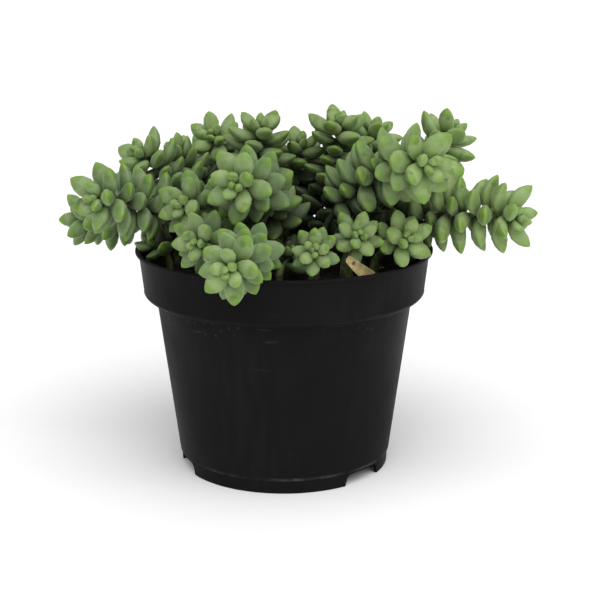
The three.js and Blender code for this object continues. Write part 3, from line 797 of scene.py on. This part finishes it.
def take_place(piece, node, material):
    """Gives a finished piece its material and its body, and hides the CAD node that it stands for."""
    piece.data.materials.clear()
    piece.data.materials.append(material)
    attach(piece, "root")
    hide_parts(node)


# Leafy stems


def middle_lift(share, curl):
    shares, _, _, lifts = zip(*LEAF_RINGS)
    return np.interp(share, shares, lifts) * curl


def half_width(share, plumpness):
    shares, halves, _, _ = zip(*LEAF_RINGS)
    return np.interp(share, shares, halves) * plumpness


def model_leaf(number, plumpness, curl):
    """A plump pointed leaf, one unit long along +Z, with its flatter upper side towards +Y."""
    rings = [(half * plumpness, depth * plumpness, lift * curl, share)
             for share, half, depth, lift in LEAF_RINGS]
    leaf = loft(f"leaf_{number}", rings, LEAF_SIDES)
    for vertex in leaf.data.vertices:
        middle = middle_lift(vertex.co.z, curl)
        rise = vertex.co.y - middle
        margin = (vertex.co.x / half_width(vertex.co.z, plumpness)) ** 2
        thinner = 1 - MARGIN_THINNING * margin
        vertex.co.y = middle + rise * thinner * (UPPER_FLATNESS if rise > 0 else UNDER_FLATNESS)
    open_edit(leaf)
    select_where(leaf, "VERT", lambda vertex: vertex.co.z > TIP_SHARE)
    bpy.ops.mesh.merge(type="CENTER")
    close_edit()
    smooth(leaf)
    points = leaf.data.vertices
    set_values(leaf.data, "along", [point.co.z for point in points])
    set_values(leaf.data, "over", [point.normal.y for point in points])
    margins = [abs(point.co.x) / half_width(point.co.z, plumpness) for point in points]
    set_values(leaf.data, "margin", margins)
    set_values(leaf.data, "leafy", [1])
    return leaf


def leaf_matrix(leaf, chance):
    """Turns the model leaf to lie where the growth rule put it."""
    roll = math.radians((2 * chance - 1) * LEAF_ROLL)
    right = np.cross(leaf.over, leaf.along)
    across = right * math.cos(roll) + leaf.over * math.sin(roll)
    upper = leaf.over * math.cos(roll) - right * math.sin(roll)
    young = 1 - leaf.age
    size = leaf.length * MM
    columns = [way * size * (1 + (larger - 1) * young)
               for way, larger in zip((across, upper, leaf.along), YOUNG_SIZES)]
    turned = Matrix([[*row] for row in np.array(columns).T]).to_4x4()
    turned.translation = Vector(leaf.base) * MM
    return turned


def heart_leaf(stem):
    """The newest leaf, which closes the middle of the rosette at the stem's tip."""
    place = stem_at(stem.line, 0)
    out = outward(place, stem.hand * (stem.turn - GOLDEN_TURN))
    return SimpleNamespace(
        rank=0, age=0, base=place.at + out * STEM_TIP_RADIUS / 2, along=place.ahead,
        over=np.cross(place.ahead, np.cross(place.ahead, out)),
        length=LEAF_LENGTH * stem.size * BUD_SHARE * HEART_LENGTH, shade=(0, 0))


def shade_at(points, leaves, own=None):
    """How much of the light from outside the plant its leaves keep from each point, from 0 to 1."""
    bellies = np.array([leaf.belly for leaf in leaves])
    lengths = np.array([leaf.length for leaf in leaves])
    outwards = points - PLANT_HEART
    outwards /= np.linalg.norm(outwards, axis=1)[:, None]
    ways = bellies - points[:, None]
    apart = np.linalg.norm(ways, axis=2)
    facing = np.maximum((ways * outwards[:, None]).sum(2), 0) / np.maximum(apart, TOUCH)
    cover = facing * (lengths * LEAF_COVER / np.maximum(apart, lengths * NEAREST_COVER)) ** 2
    if own is not None:
        cover[:, own] = 0
    return 1 - np.exp(-cover.sum(1))


def shade_leaves(leaves):
    for own, leaf in enumerate(leaves):
        ends = np.array([leaf.base + leaf.along * leaf.length * share for share in SHADE_ENDS])
        leaf.shade = shade_at(ends, leaves, own)


def grow_leaf(leaf, models, rng):
    """A copy of one of the model leaves, in its place and with values of its own."""
    mesh = models[int(rng.random() * len(models))].data.copy()
    shares = [vertex.co.z for vertex in mesh.vertices]
    mesh.transform(leaf_matrix(leaf, rng.random()))
    set_values(mesh, "age", [min(leaf.rank / RIPE_AFTER, 1)])
    set_values(mesh, "chance", [rng.random()])
    set_values(mesh, "shade", np.interp(shares, SHADE_ENDS, leaf.shade))
    return add_copy("leaf", mesh)


def model_stem(stem, leaves):
    """A round stem along the arch from the tip to its foot in the soil."""
    piece = add_new(bpy.ops.curve.primitive_bezier_curve_add)
    start, above, behind = stem_handles(stem)
    knots = ((stem.tip, STEM_TIP_SHARE), (start, 1), (stem.line.at[-1], 1))
    spline = piece.data.splines[0]
    spline.bezier_points.add(len(knots) - len(spline.bezier_points))
    points = spline.bezier_points
    for point, (at, share) in zip(points, knots):
        point.handle_left_type = point.handle_right_type = "FREE"
        point.co = Vector(at) * MM
        point.handle_left = point.handle_right = point.co
        point.radius = share
    points[0].handle_right = Vector(behind) * MM
    points[1].handle_left = Vector(above) * MM
    piece.data.resolution_u = STEM_LOOK_STEPS
    piece.data.bevel_depth = STEM_RADIUS * MM
    piece.data.bevel_resolution = STEM_ROUNDNESS
    piece.data.use_fill_caps = True
    pick([piece])
    bpy.ops.object.convert(target="MESH")
    open_edit(piece)
    bpy.ops.mesh.remove_doubles(threshold=SEAM * MM)
    close_edit()
    smooth(piece)
    for name in LEAF_VALUES:
        set_values(piece.data, name, [0])
    places = np.array([vertex.co / MM for vertex in piece.data.vertices])
    set_values(piece.data, "shade", shade_at(places, leaves))
    return piece


def make_tails(material):
    """Each stem with the leaves that grew on it and its newest leaf, joined as one piece."""
    rng = random.Random(SEED)
    models = [model_leaf(number, *shape) for number, shape in enumerate(LEAF_SHAPES)]
    stems = make_stems()
    leaves = [leaf for stem in stems for leaf in stem.grown]
    shade_leaves(leaves)
    for stem in stems:
        pieces = [grow_leaf(leaf, models, rng) for leaf in (*stem.grown, heart_leaf(stem))]
        tail = join([model_stem(stem, leaves), *pieces], f"foliage_{stem.name}")
        take_place(tail, f"tail_{stem.name}", material)
    for model in models:
        bpy.data.objects.remove(model)


# Pot


def along_line(z, low_z, low, high_z, high):
    return low + (high - low) * (z - low_z) / (high_z - low_z)


def body_radius(z):
    return along_line(z, LEDGE_Z, BODY_BOTTOM_RADIUS, BODY_TOP_Z, BODY_TOP_RADIUS)


def collar_radius(z):
    return along_line(z, COLLAR_BOTTOM_Z, COLLAR_BOTTOM_RADIUS, POT_HEIGHT - LIP_HEIGHT, COLLAR_TOP_RADIUS)


def wall_line(inset, bottom_z, top_z):
    """The wall's line from bottom_z up to top_z, moved in by inset, as (radius, height) pairs."""
    low = (BODY_TOP_RADIUS - inset, BODY_TOP_Z + inset)
    bend = (SHOULDER_CORNER_RADIUS - inset, SHOULDER_CORNER_Z + inset)
    high = (COLLAR_BOTTOM_RADIUS - inset, COLLAR_BOTTOM_Z + inset / 2)
    line = [(body_radius(bottom_z) - inset, bottom_z)]
    for i in range(SHOULDER_STEPS + 1):
        t = i / SHOULDER_STEPS
        line.append(tuple(a * (1 - t) ** 2 + 2 * b * t * (1 - t) + c * t * t
                          for a, b, c in zip(low, bend, high)))
    if inset == 0:
        radius = collar_radius(COLLAR_BOTTOM_Z)
        line += [(radius + out, COLLAR_BOTTOM_Z + rise) for out, rise in COLLAR_RIDGE]
    line.append((collar_radius(top_z) - inset, top_z))
    return line


def turn_body(name, profile):
    """A closed round body from a profile of (radius, height) pairs in millimetres."""
    rings = [(radius * MM, radius * MM, 0, height * MM) for radius, height in profile]
    return loft(name, rings, POT_SIDES)


def cut(piece, cutter):
    apply_modifier(piece, "BOOLEAN", operation="DIFFERENCE", object=cutter, solver="EXACT")
    bpy.data.objects.remove(cutter)


def turn_about_axis(turn):
    bpy.ops.transform.rotate(value=-math.radians(turn), orient_axis="Z", center_override=ORIGIN)


def notch_cutter(turn):
    """A block with rounded upper corners that widens downwards, across the foot ring."""
    cutter = add_new(bpy.ops.mesh.primitive_cube_add, size=1)

    def is_upper_corner(edge):
        ends = [cutter.data.vertices[i].co for i in edge.vertices]
        return all(end.z > 0 for end in ends) and abs(ends[0].x - ends[1].x) < SEAM * MM

    open_edit(cutter)
    size = (NOTCH_WIDTH * MM, NOTCH_CUT * MM, 2 * NOTCH_HEIGHT * MM)
    bpy.ops.transform.resize(value=size)
    bpy.ops.transform.translate(value=(0, -FOOT_RADIUS * MM, 0))
    select_where(cutter, "EDGE", is_upper_corner)
    bpy.ops.mesh.bevel(offset=NOTCH_ROUNDING * MM, segments=NOTCH_STEPS)
    select_where(cutter, "VERT", lambda vertex: vertex.co.z < 0)
    bpy.ops.transform.resize(value=(NOTCH_FLARE, 1, 1), center_override=ORIGIN)
    bpy.ops.mesh.select_all(action="SELECT")
    turn_about_axis(turn)
    close_edit()
    return cutter


def drain_cutter(turn):
    ends = (BASE_UNDERSIDE_Z - POT_WALL, BASE_TOP_Z + POT_WALL)
    rings = [(DRAIN_RADIUS * MM, DRAIN_RADIUS * MM, -DRAIN_CIRCLE * MM, z * MM) for z in ends]
    drain = loft("drain", rings, DRAIN_SIDES)
    open_edit(drain)
    turn_about_axis(turn)
    close_edit()
    return drain


def make_pot(material):
    lip_z = POT_HEIGHT - LIP_HEIGHT
    profile = [
        (HUB_RADIUS, BASE_UNDERSIDE_Z), (FOOT_INNER_RADIUS, BASE_UNDERSIDE_Z), (FOOT_INNER_RADIUS, 0),
        (FOOT_RADIUS, 0), (FOOT_TOP_RADIUS, FOOT_TOP_Z), *wall_line(0, LEDGE_Z, lip_z),
        (RIM_RADIUS, lip_z + LIP_BEVEL), (RIM_RADIUS, POT_HEIGHT),
        (RIM_RADIUS - POT_WALL, POT_HEIGHT), *reversed(wall_line(POT_WALL, BASE_TOP_Z, lip_z)),
        (HUB_RADIUS, BASE_TOP_Z)]
    pot = turn_body("nursery_pot", profile)
    apply_modifier(pot, "BEVEL", width=EDGE_ROUNDING * MM, segments=EDGE_STEPS, limit_method="ANGLE",
                   angle_limit=math.radians(EDGE_ANGLE))
    for turn in NOTCH_TURNS:
        cut(pot, notch_cutter(turn))
    for i in range(DRAIN_COUNT):
        cut(pot, drain_cutter(NOTCH_TURNS[0] + i * 360 / DRAIN_COUNT))
    pick([pot])
    bpy.ops.object.shade_smooth_by_angle(angle=math.radians(SMOOTH_ANGLE))
    take_place(pot, "pot", material)


# Soil


def soil_height(x, y):
    waves = math.sin(x / SOIL_WAVES[0] + WAVE_START) * math.cos(y / SOIL_WAVES[1])
    ripples = math.sin(x / SOIL_RIPPLES[0] + y / SOIL_RIPPLES[1])
    return SOIL_TOP + SOIL_RELIEF * (waves + ripples / RIPPLE_PART)


def soil_lumps(x, y):
    """How far the crumbly surface stands above or below its smooth lie, in millimetres."""
    at = Vector((x, y, 0))
    return sum(noise.noise(at / size) * height for size, height in SOIL_LUMPS)


def model_crumb():
    """An uneven crumb of peat or bark, one unit across."""
    crumb = add_new(bpy.ops.mesh.primitive_ico_sphere_add, subdivisions=1, radius=1)
    open_edit(crumb)
    bpy.ops.transform.vertex_random(offset=CRUMB_ROUGHNESS, seed=SEED)
    close_edit()
    return crumb


def place_crumb(model, rng, radius):
    turn = rng.uniform(0, math.tau)
    out = radius * math.sqrt(rng.random())
    x, y = out * math.cos(turn), out * math.sin(turn)
    is_pale = rng.random() < PALE_SHARE
    size = rng.uniform(*CRUMB_SIZES) * (PALE_SIZE if is_pale else 1)
    turned = Matrix.Rotation(rng.uniform(0, math.tau), 4, "Z")
    tilted = Matrix.Rotation(rng.uniform(0, CRUMB_TILT), 4, "X")
    width = size * rng.uniform(*CRUMB_WIDTHS)
    shape = Matrix.Diagonal((width, size, size * rng.uniform(*CRUMB_HEIGHTS), 1))
    mesh = model.data.copy()
    mesh.transform(turned @ tilted @ shape)
    mesh.transform(Matrix.Scale(MM, 4))
    mesh.transform(Matrix.Translation(Vector((x, y, soil_height(x, y) + soil_lumps(x, y))) * MM))
    set_values(mesh, "chance", [rng.random()])
    set_values(mesh, "pale", [1 if is_pale else 0])
    return add_copy("crumb", mesh)


def make_soil(material):
    """The bed that fills the pot, with a lumpy surface and loose crumbs on it."""
    side = wall_line(POT_WALL + SOIL_GAP, BASE_TOP_Z + SOIL_GAP, SOIL_TOP)
    top_radius = side[-1][0]
    across = [(top_radius * (1 - ring / SOIL_RINGS), SOIL_TOP) for ring in range(1, SOIL_RINGS)]
    soil = turn_body("potting_mix", [(HUB_RADIUS, BASE_TOP_Z + SOIL_GAP), *side, *across])
    for vertex in soil.data.vertices:
        x, y, z = vertex.co / MM
        if z > SOIL_TOP - SOIL_EDGE and math.hypot(x, y) < top_radius - SOIL_EDGE:
            vertex.co.z = (soil_height(x, y) + soil_lumps(x, y)) * MM
    set_values(soil.data, "chance", [BED_CHANCE])
    set_values(soil.data, "pale", [0])
    rng = random.Random(SEED)
    crumb = model_crumb()
    crumbs = [place_crumb(crumb, rng, top_radius - CRUMB_SIZES[1]) for _ in range(CRUMB_COUNT)]
    bpy.data.objects.remove(crumb)
    take_place(join([soil, *crumbs], "potting_mix"), "soil", material)


# Dry leaf


def dry_half_width(share):
    shares, widths = zip(*DRY_HALF_WIDTHS)
    return np.interp(share, shares, widths)


def make_dry_leaf(material):
    """A papery flake whose edges curl towards its face."""
    flake = add_new(bpy.ops.mesh.primitive_grid_add, x_subdivisions=DRY_COLUMNS,
                    y_subdivisions=DRY_ROWS, size=2)
    flake.name = "dry_leaf_flake"
    along, across, face = dry_leaf_ways()
    values = []
    for vertex in flake.data.vertices:
        edge = vertex.co.x
        share = (vertex.co.y + 1) / 2
        values.append(share)
        curl = DRY_CUP * (edge * edge - 1) + DRY_WAVE * math.sin(share * DRY_WAVES) * edge
        half_width = dry_half_width(share)
        width = edge * (min(half_width, DRY_UPPER_WIDTH) if edge > 0 else half_width)
        at = DRY_FROM + along * share + across * width + face * curl
        vertex.co = Vector(at) * MM
    set_values(flake.data, "along", values)
    apply_modifier(flake, "SOLIDIFY", thickness=DRY_PAPER * MM, offset=0)
    apply_modifier(flake, "SUBSURF", levels=1, render_levels=1)
    open_edit(flake)
    close_edit()
    smooth(flake)
    take_place(flake, "dry_leaf", material)


# Materials


def metres(lengths):
    return [length * MM for length in lengths]


def feed(socket, value):
    """Gives a socket a plain value, or a link where the value is another socket."""
    if isinstance(value, bpy.types.NodeSocket):
        socket.id_data.links.new(value, socket)
    else:
        socket.default_value = value


def add_node(kind, inputs, **settings):
    """A node beside the nodes that feed it, with its inputs by name or number, and its settings."""
    tree = next(value.id_data for value in inputs.values() if isinstance(value, bpy.types.NodeSocket))
    made = tree.nodes.new(f"ShaderNode{kind}")
    for name, value in settings.items():
        setattr(made, name, value)
    for key, value in inputs.items():
        feed(made.inputs[key], value)
    return made


def calculate(operation, first, *others):
    """The first value taken with each of the others in turn."""
    for other in others:
        first = add_node("Math", {0: first, 1: other}, operation=operation).outputs[0]
    return first


def ramp(value, low, high, start=0, end=1):
    """Runs smoothly from start to end while the value runs from low to high."""
    inputs = {0: value, 1: low, 2: high, 3: start, 4: end}
    return add_node("MapRange", inputs, interpolation_type="SMOOTHSTEP").outputs[0]


def band(value, levels, most=1):
    """Its most between the middle two of four levels, and 0 outside the outer two."""
    bottom, low, high, top = levels
    return calculate("MULTIPLY", ramp(value, bottom, low, 0, most),
                     ramp(value, high, top, 1, 0))


def blend(share, first, second):
    return add_node("Mix", {0: share, 6: first, 7: second}, data_type="RGBA").outputs[2]


def noise_value(at, scale, detail=2, roughness=0.5):
    inputs = {"Vector": at, "Scale": scale, "Detail": detail, "Roughness": roughness}
    return add_node("TexNoise", inputs).outputs["Fac"]


def attribute(material, name):
    made = material.node_tree.nodes.new("ShaderNodeAttribute")
    made.attribute_name = name
    return made.outputs["Fac"]


def stretch(at, scale):
    return add_node("Mapping", {"Vector": at, "Scale": scale}).outputs[0]


def split(point, axis):
    return add_node("SeparateXYZ", {0: point}).outputs[axis]


def distance_from(point, place):
    """How far a point is from a place given in millimetres."""
    inputs = {0: point, 1: Vector(place) * MM}
    return add_node("VectorMath", inputs, operation="DISTANCE").outputs["Value"]


def make_group(name, inputs, outputs):
    """A group with its inputs by name and kind, and its outputs, which are numbers."""
    group = bpy.data.node_groups.new(name, "ShaderNodeTree")
    for label, kind in inputs.items():
        group.interface.new_socket(label, in_out="INPUT", socket_type=f"NodeSocket{kind}")
    for label in outputs:
        group.interface.new_socket(label, in_out="OUTPUT", socket_type="NodeSocketFloat")
    source = group.nodes.new("NodeGroupInput")
    target = group.nodes.new("NodeGroupOutput")
    return group, source.outputs, target.inputs


def use_group(group, **inputs):
    return add_node("Group", inputs, node_tree=group).outputs


def make_specks_group():
    """Small round specks, gathered by slow clouds; the more the cover, the more of them stay."""
    inputs = {"Point": "Vector", "Scale": "Float", "Cover": "Float"}
    group, source, target = make_group("specks", inputs, ("Specks",))
    dots = add_node("TexVoronoi", {"Vector": source["Point"], "Scale": source["Scale"]})
    near = ramp(dots.outputs["Distance"], *SPECK_EDGE)
    chosen = add_node("SeparateColor", {0: dots.outputs["Color"]}).outputs[0]
    kept = ramp(chosen, *SPECKS_KEPT)
    slow = noise_value(source["Point"], SPECK_CLOUD_SCALE, CLOUD_DETAIL)
    gathered = ramp(calculate("ADD", slow, source["Cover"]), *SPECKS_GATHERED)
    group.links.new(calculate("MULTIPLY", near, kept, gathered), target["Specks"])
    return group


def make_mottle_group():
    """Two sizes of soft cloud, from 0 to 1, for uneven colour, gloss and relief."""
    inputs = {"Point": "Vector", "Scale": "Float"}
    group, source, target = make_group("mottle", inputs, ("Clouds", "Grain"))
    clouds = noise_value(source["Point"], source["Scale"], CLOUD_DETAIL)
    fine = calculate("MULTIPLY", source["Scale"], GRAIN_FINENESS)
    grain = noise_value(source["Point"], fine)
    group.links.new(ramp(clouds, *CLOUD_EDGES), target["Clouds"])
    group.links.new(ramp(grain, *CLOUD_EDGES), target["Grain"])
    return group


def new_material(name):
    """A material, its shader and the place of each point on its surface."""
    material = bpy.data.materials.new(name)
    material.use_nodes = True
    nodes = material.node_tree.nodes
    return material, nodes["Principled BSDF"], nodes.new("ShaderNodeTexCoord").outputs["Object"]


def finish_surface(shader, **sockets):
    """Gives the shader's sockets, by name, their values or what feeds them."""
    for name, value in sockets.items():
        feed(shader.inputs[name.replace("_", " ")], value)


def add_bump(shader, height, strength, depth):
    """Low relief from a pattern, with its depth in millimetres."""
    inputs = {"Strength": strength, "Distance": depth * MM, "Height": height}
    feed(shader.inputs["Normal"], add_node("Bump", inputs).outputs[0])


def layers(colour, *tints):
    """A colour with tints laid over it one after another, each as (share, tint)."""
    for share, tint in tints:
        colour = blend(share, colour, tint)
    return colour


def wax_colour_and_painted_light(point, cloud, along, over, age, chance):
    """Brighter when young; painted light and shade make it brighter at the right, duller at the left and
    duller below; paler in grains and round the belly.
    """
    wax = blend(age, WAX_YOUNG, blend(chance, WAX_GREY, WAX_OLD))
    side = split(point, "X")
    return layers(
        wax, (ramp(side, *metres(SUNNY_SIDE), 0, SUNNY_SHARE), WAX_SUNNY),
        (ramp(side, *metres(SHADY_SIDE), SHADY_SHARE, 0), WAX_SHADY),
        (ramp(over, *UNDER_WAX), WAX_UNDER), (ramp(cloud["Grain"], *GRAIN_WAX), WAX_PALE),
        (band(along, RIM_FADE, RIM_WAX), WAX_PALE))


def make_leaf_material(mottle):
    """Grey-green wax over a brighter green, rubbed thin at the tips; stems are pale and scarred; both carry
    painted light and shade.
    """
    material, shader, point = new_material("waxy_leaf")
    along, over, margin, age, chance, shade, leafy = (attribute(material, name) for name in LEAF_VALUES)
    cloud = use_group(mottle, Point=point, Scale=LEAF_CLOUD_SCALE)
    tip = ramp(along, *TIP_FADE)
    root = ramp(along, *ROOT_FADE, 1, 0)
    rubbed = calculate("MULTIPLY", ramp(along, *RUB_FADE),
                       ramp(cloud["Clouds"], *RUB_PATCHES), ramp(chance, *RUB_CHANCE))
    tip_bare = calculate("MULTIPLY", tip, ramp(chance, *TIP_CHANCE))
    root_bare = calculate("MULTIPLY", root, ROOT_BARE)
    bare = calculate("MAXIMUM", rubbed, tip_bare, root_bare)
    # Towards the root the green deepens to LEAF_DEEP, partly the leaf's own colour and partly painted shade
    # at the stem
    green = blend(root, blend(tip, LEAF_GREEN, LEAF_TIP), LEAF_DEEP)
    wax = wax_colour_and_painted_light(point, cloud, along, over, age, chance)
    pale = calculate("MULTIPLY", ramp(margin, *MARGIN_FADE, 0, MARGIN_WAX), ramp(along, *ROOT_FADE))
    colour = layers(wax, (calculate("MULTIPLY", bare, MOST_BARE), green), (pale, WAX_PALE))
    scar = ramp(noise_value(point, STEM_SCAR_SCALE), *STEM_SCAR_EDGES)
    colour = blend(leafy, blend(scar, STEM_PALE, STEM_BROWN), colour)
    # Painted shade: darker towards DEEP_SHADE where a point's shade is high and near the plant's heart
    reach = distance_from(point, PLANT_HEART)
    deep = calculate("MAXIMUM", ramp(shade, *SHADE_FADE, 0, SHADE_DEPTH),
                     ramp(reach, *metres(INNER_REACH), INNER_SHADE, 0))
    finish_surface(shader, Base_Color=blend(deep, colour, DEEP_SHADE),
                   Roughness=ramp(bare, 0, 1, *LEAF_ROUGHNESS), Specular_IOR_Level=LEAF_GLOSS,
                   Subsurface_Weight=LEAF_GLOW, Subsurface_Radius=GLOW_REACH,
                   Subsurface_Scale=GLOW_DEPTH * MM, Sheen_Weight=BLOOM_SHEEN,
                   Sheen_Roughness=BLOOM_SPREAD, Sheen_Tint=BLOOM_TINT)
    relief = calculate("MULTIPLY", cloud["Clouds"], LEAF_CLOUD_RELIEF)
    add_bump(shader, calculate("ADD", cloud["Grain"], relief), *LEAF_BUMP)
    return material


def make_pot_material(mottle, specks):
    """Black moulded plastic with faint upright flow lines, dust, a pale band along the ledge and light
    scuffs.
    """
    material, shader, point = new_material("black_plastic")
    cloud = use_group(mottle, Point=point, Scale=POT_CLOUD_SCALE)
    lines = noise_value(stretch(point, FLOW_STRETCH), FLOW_SCALE)
    height = split(point, "Z")
    shoulder = band(height, metres(SHOULDER_SCUFFS))
    cover = ramp(shoulder, *DUST_COVER)
    dust = [use_group(specks, Point=point, Scale=scale, Cover=cover)["Specks"]
            for scale in DUST_SCALES]
    # A pale band along the foot's ledge, broken up by clouds and grain
    ledge = band(height, metres(LEDGE_PALE_BAND))
    ledge_band = calculate("MULTIPLY", ledge, cloud["Clouds"], cloud["Grain"])
    dust_and_ledge_band = calculate("MULTIPLY", calculate("MAXIMUM", *dust, ledge_band), DUST_AND_BAND_SHARE)
    scratch = noise_value(stretch(point, SCRATCH_STRETCH), *SCRATCH_NOISE)
    scuffed = calculate("MULTIPLY", ramp(scratch, *SCRATCH_EDGES),
                        ramp(shoulder, *SCUFF_COVER), SCUFF_SHARE)
    marks = calculate("MAXIMUM", dust_and_ledge_band, scuffed)
    colour = layers(POT_BLACK, (ramp(lines, *CLOUD_EDGES), POT_GREY), (cloud["Clouds"], POT_BLACK),
                    (marks, POT_DUST_AND_BAND))
    rough = ramp(calculate("ADD", marks, cloud["Clouds"]), *POT_ROUGHNESS)
    finish_surface(shader, Base_Color=colour, Roughness=rough, Specular_IOR_Level=POT_GLOSS)
    grain = calculate("MULTIPLY", cloud["Grain"], POT_GRAIN_RELIEF)
    add_bump(shader, calculate("ADD", lines, grain), *POT_BUMP)
    return material


def make_soil_material(mottle):
    """Damp dark peat, browner crumbs and a few pale grains."""
    material, shader, point = new_material("potting_mix")
    cloud = use_group(mottle, Point=point, Scale=SOIL_CLOUD_SCALE)
    bark = ramp(attribute(material, "chance"), *BARK_CHANCE)
    colour = layers(SOIL_DARK, (cloud["Clouds"], SOIL_BROWN), (bark, SOIL_BARK),
                    (attribute(material, "pale"), SOIL_PALE))
    finish_surface(shader, Base_Color=colour, Roughness=SOIL_ROUGHNESS,
                   Specular_IOR_Level=SOIL_GLOSS)
    add_bump(shader, calculate("ADD", cloud["Clouds"], cloud["Grain"]), *SOIL_BUMP)
    return material


def make_dry_material(mottle):
    """Tan and papery, with darker veins along it and a brown spot."""
    material, shader, point = new_material("dried_leaf")
    cloud = use_group(mottle, Point=point, Scale=DRY_CLOUD_SCALE)
    veins = noise_value(stretch(point, DRY_VEIN_STRETCH), DRY_VEIN_SCALE)
    spot = ramp(distance_from(point, DRY_SPOT), *metres(DRY_SPOT_SIZE), DRY_SPOT_SHARE, 0)
    colour = layers(DRY_TAN, (ramp(veins, *DRY_VEIN_EDGES), DRY_PALE),
                    (ramp(cloud["Clouds"], *DRY_PATCHES), DRY_BROWN), (spot, DRY_DARK))
    finish_surface(shader, Base_Color=colour, Roughness=DRY_ROUGHNESS, Specular_IOR_Level=DRY_GLOSS)
    add_bump(shader, calculate("ADD", veins, cloud["Grain"]), *DRY_BUMP)
    return material


# Stage, light and camera


def make_stage():
    floor = add_new(bpy.ops.mesh.primitive_plane_add, size=FLOOR_SIZE)
    floor.name = "floor"
    material, shader, _ = new_material("pale_floor")
    finish_surface(shader, Base_Color=FLOOR_WHITE, Roughness=1, Specular_IOR_Level=0)
    floor.data.materials.append(material)
    world = bpy.data.worlds.new("studio")
    world.use_nodes = True
    background = world.node_tree.nodes["Background"]
    background.inputs["Color"].default_value = (1, 1, 1, 1)
    background.inputs["Strength"].default_value = WORLD_LIGHT
    bpy.context.scene.world = world
    for name, turn, rise, strength, angle in LIGHTS:
        tilt = math.pi / 2 - math.radians(rise)
        light = add_new(bpy.ops.object.light_add, type="SUN", rotation=(tilt, 0, math.radians(turn)))
        light.name = name
        light.data.energy = strength
        light.data.angle = math.radians(angle)


def make_camera():
    rise = math.radians(CAMERA_ELEVATION)
    back = Vector((0, -math.cos(rise), math.sin(rise))) * CAMERA_DISTANCE
    camera = add_new(bpy.ops.object.camera_add, location=CAMERA_TARGET + back,
                     rotation=(math.pi / 2 - rise, 0, 0))
    camera.data.lens = CAMERA_LENS
    camera.data.clip_end = FLOOR_SIZE
    bpy.context.scene.camera = camera
    bpy.context.scene.view_settings.view_transform = "Standard"


mottle = make_mottle_group()
specks = make_specks_group()
make_camera()
make_pot(make_pot_material(mottle, specks))
make_soil(make_soil_material(mottle))
make_dry_leaf(make_dry_material(mottle))
make_tails(make_leaf_material(mottle))
make_stage()
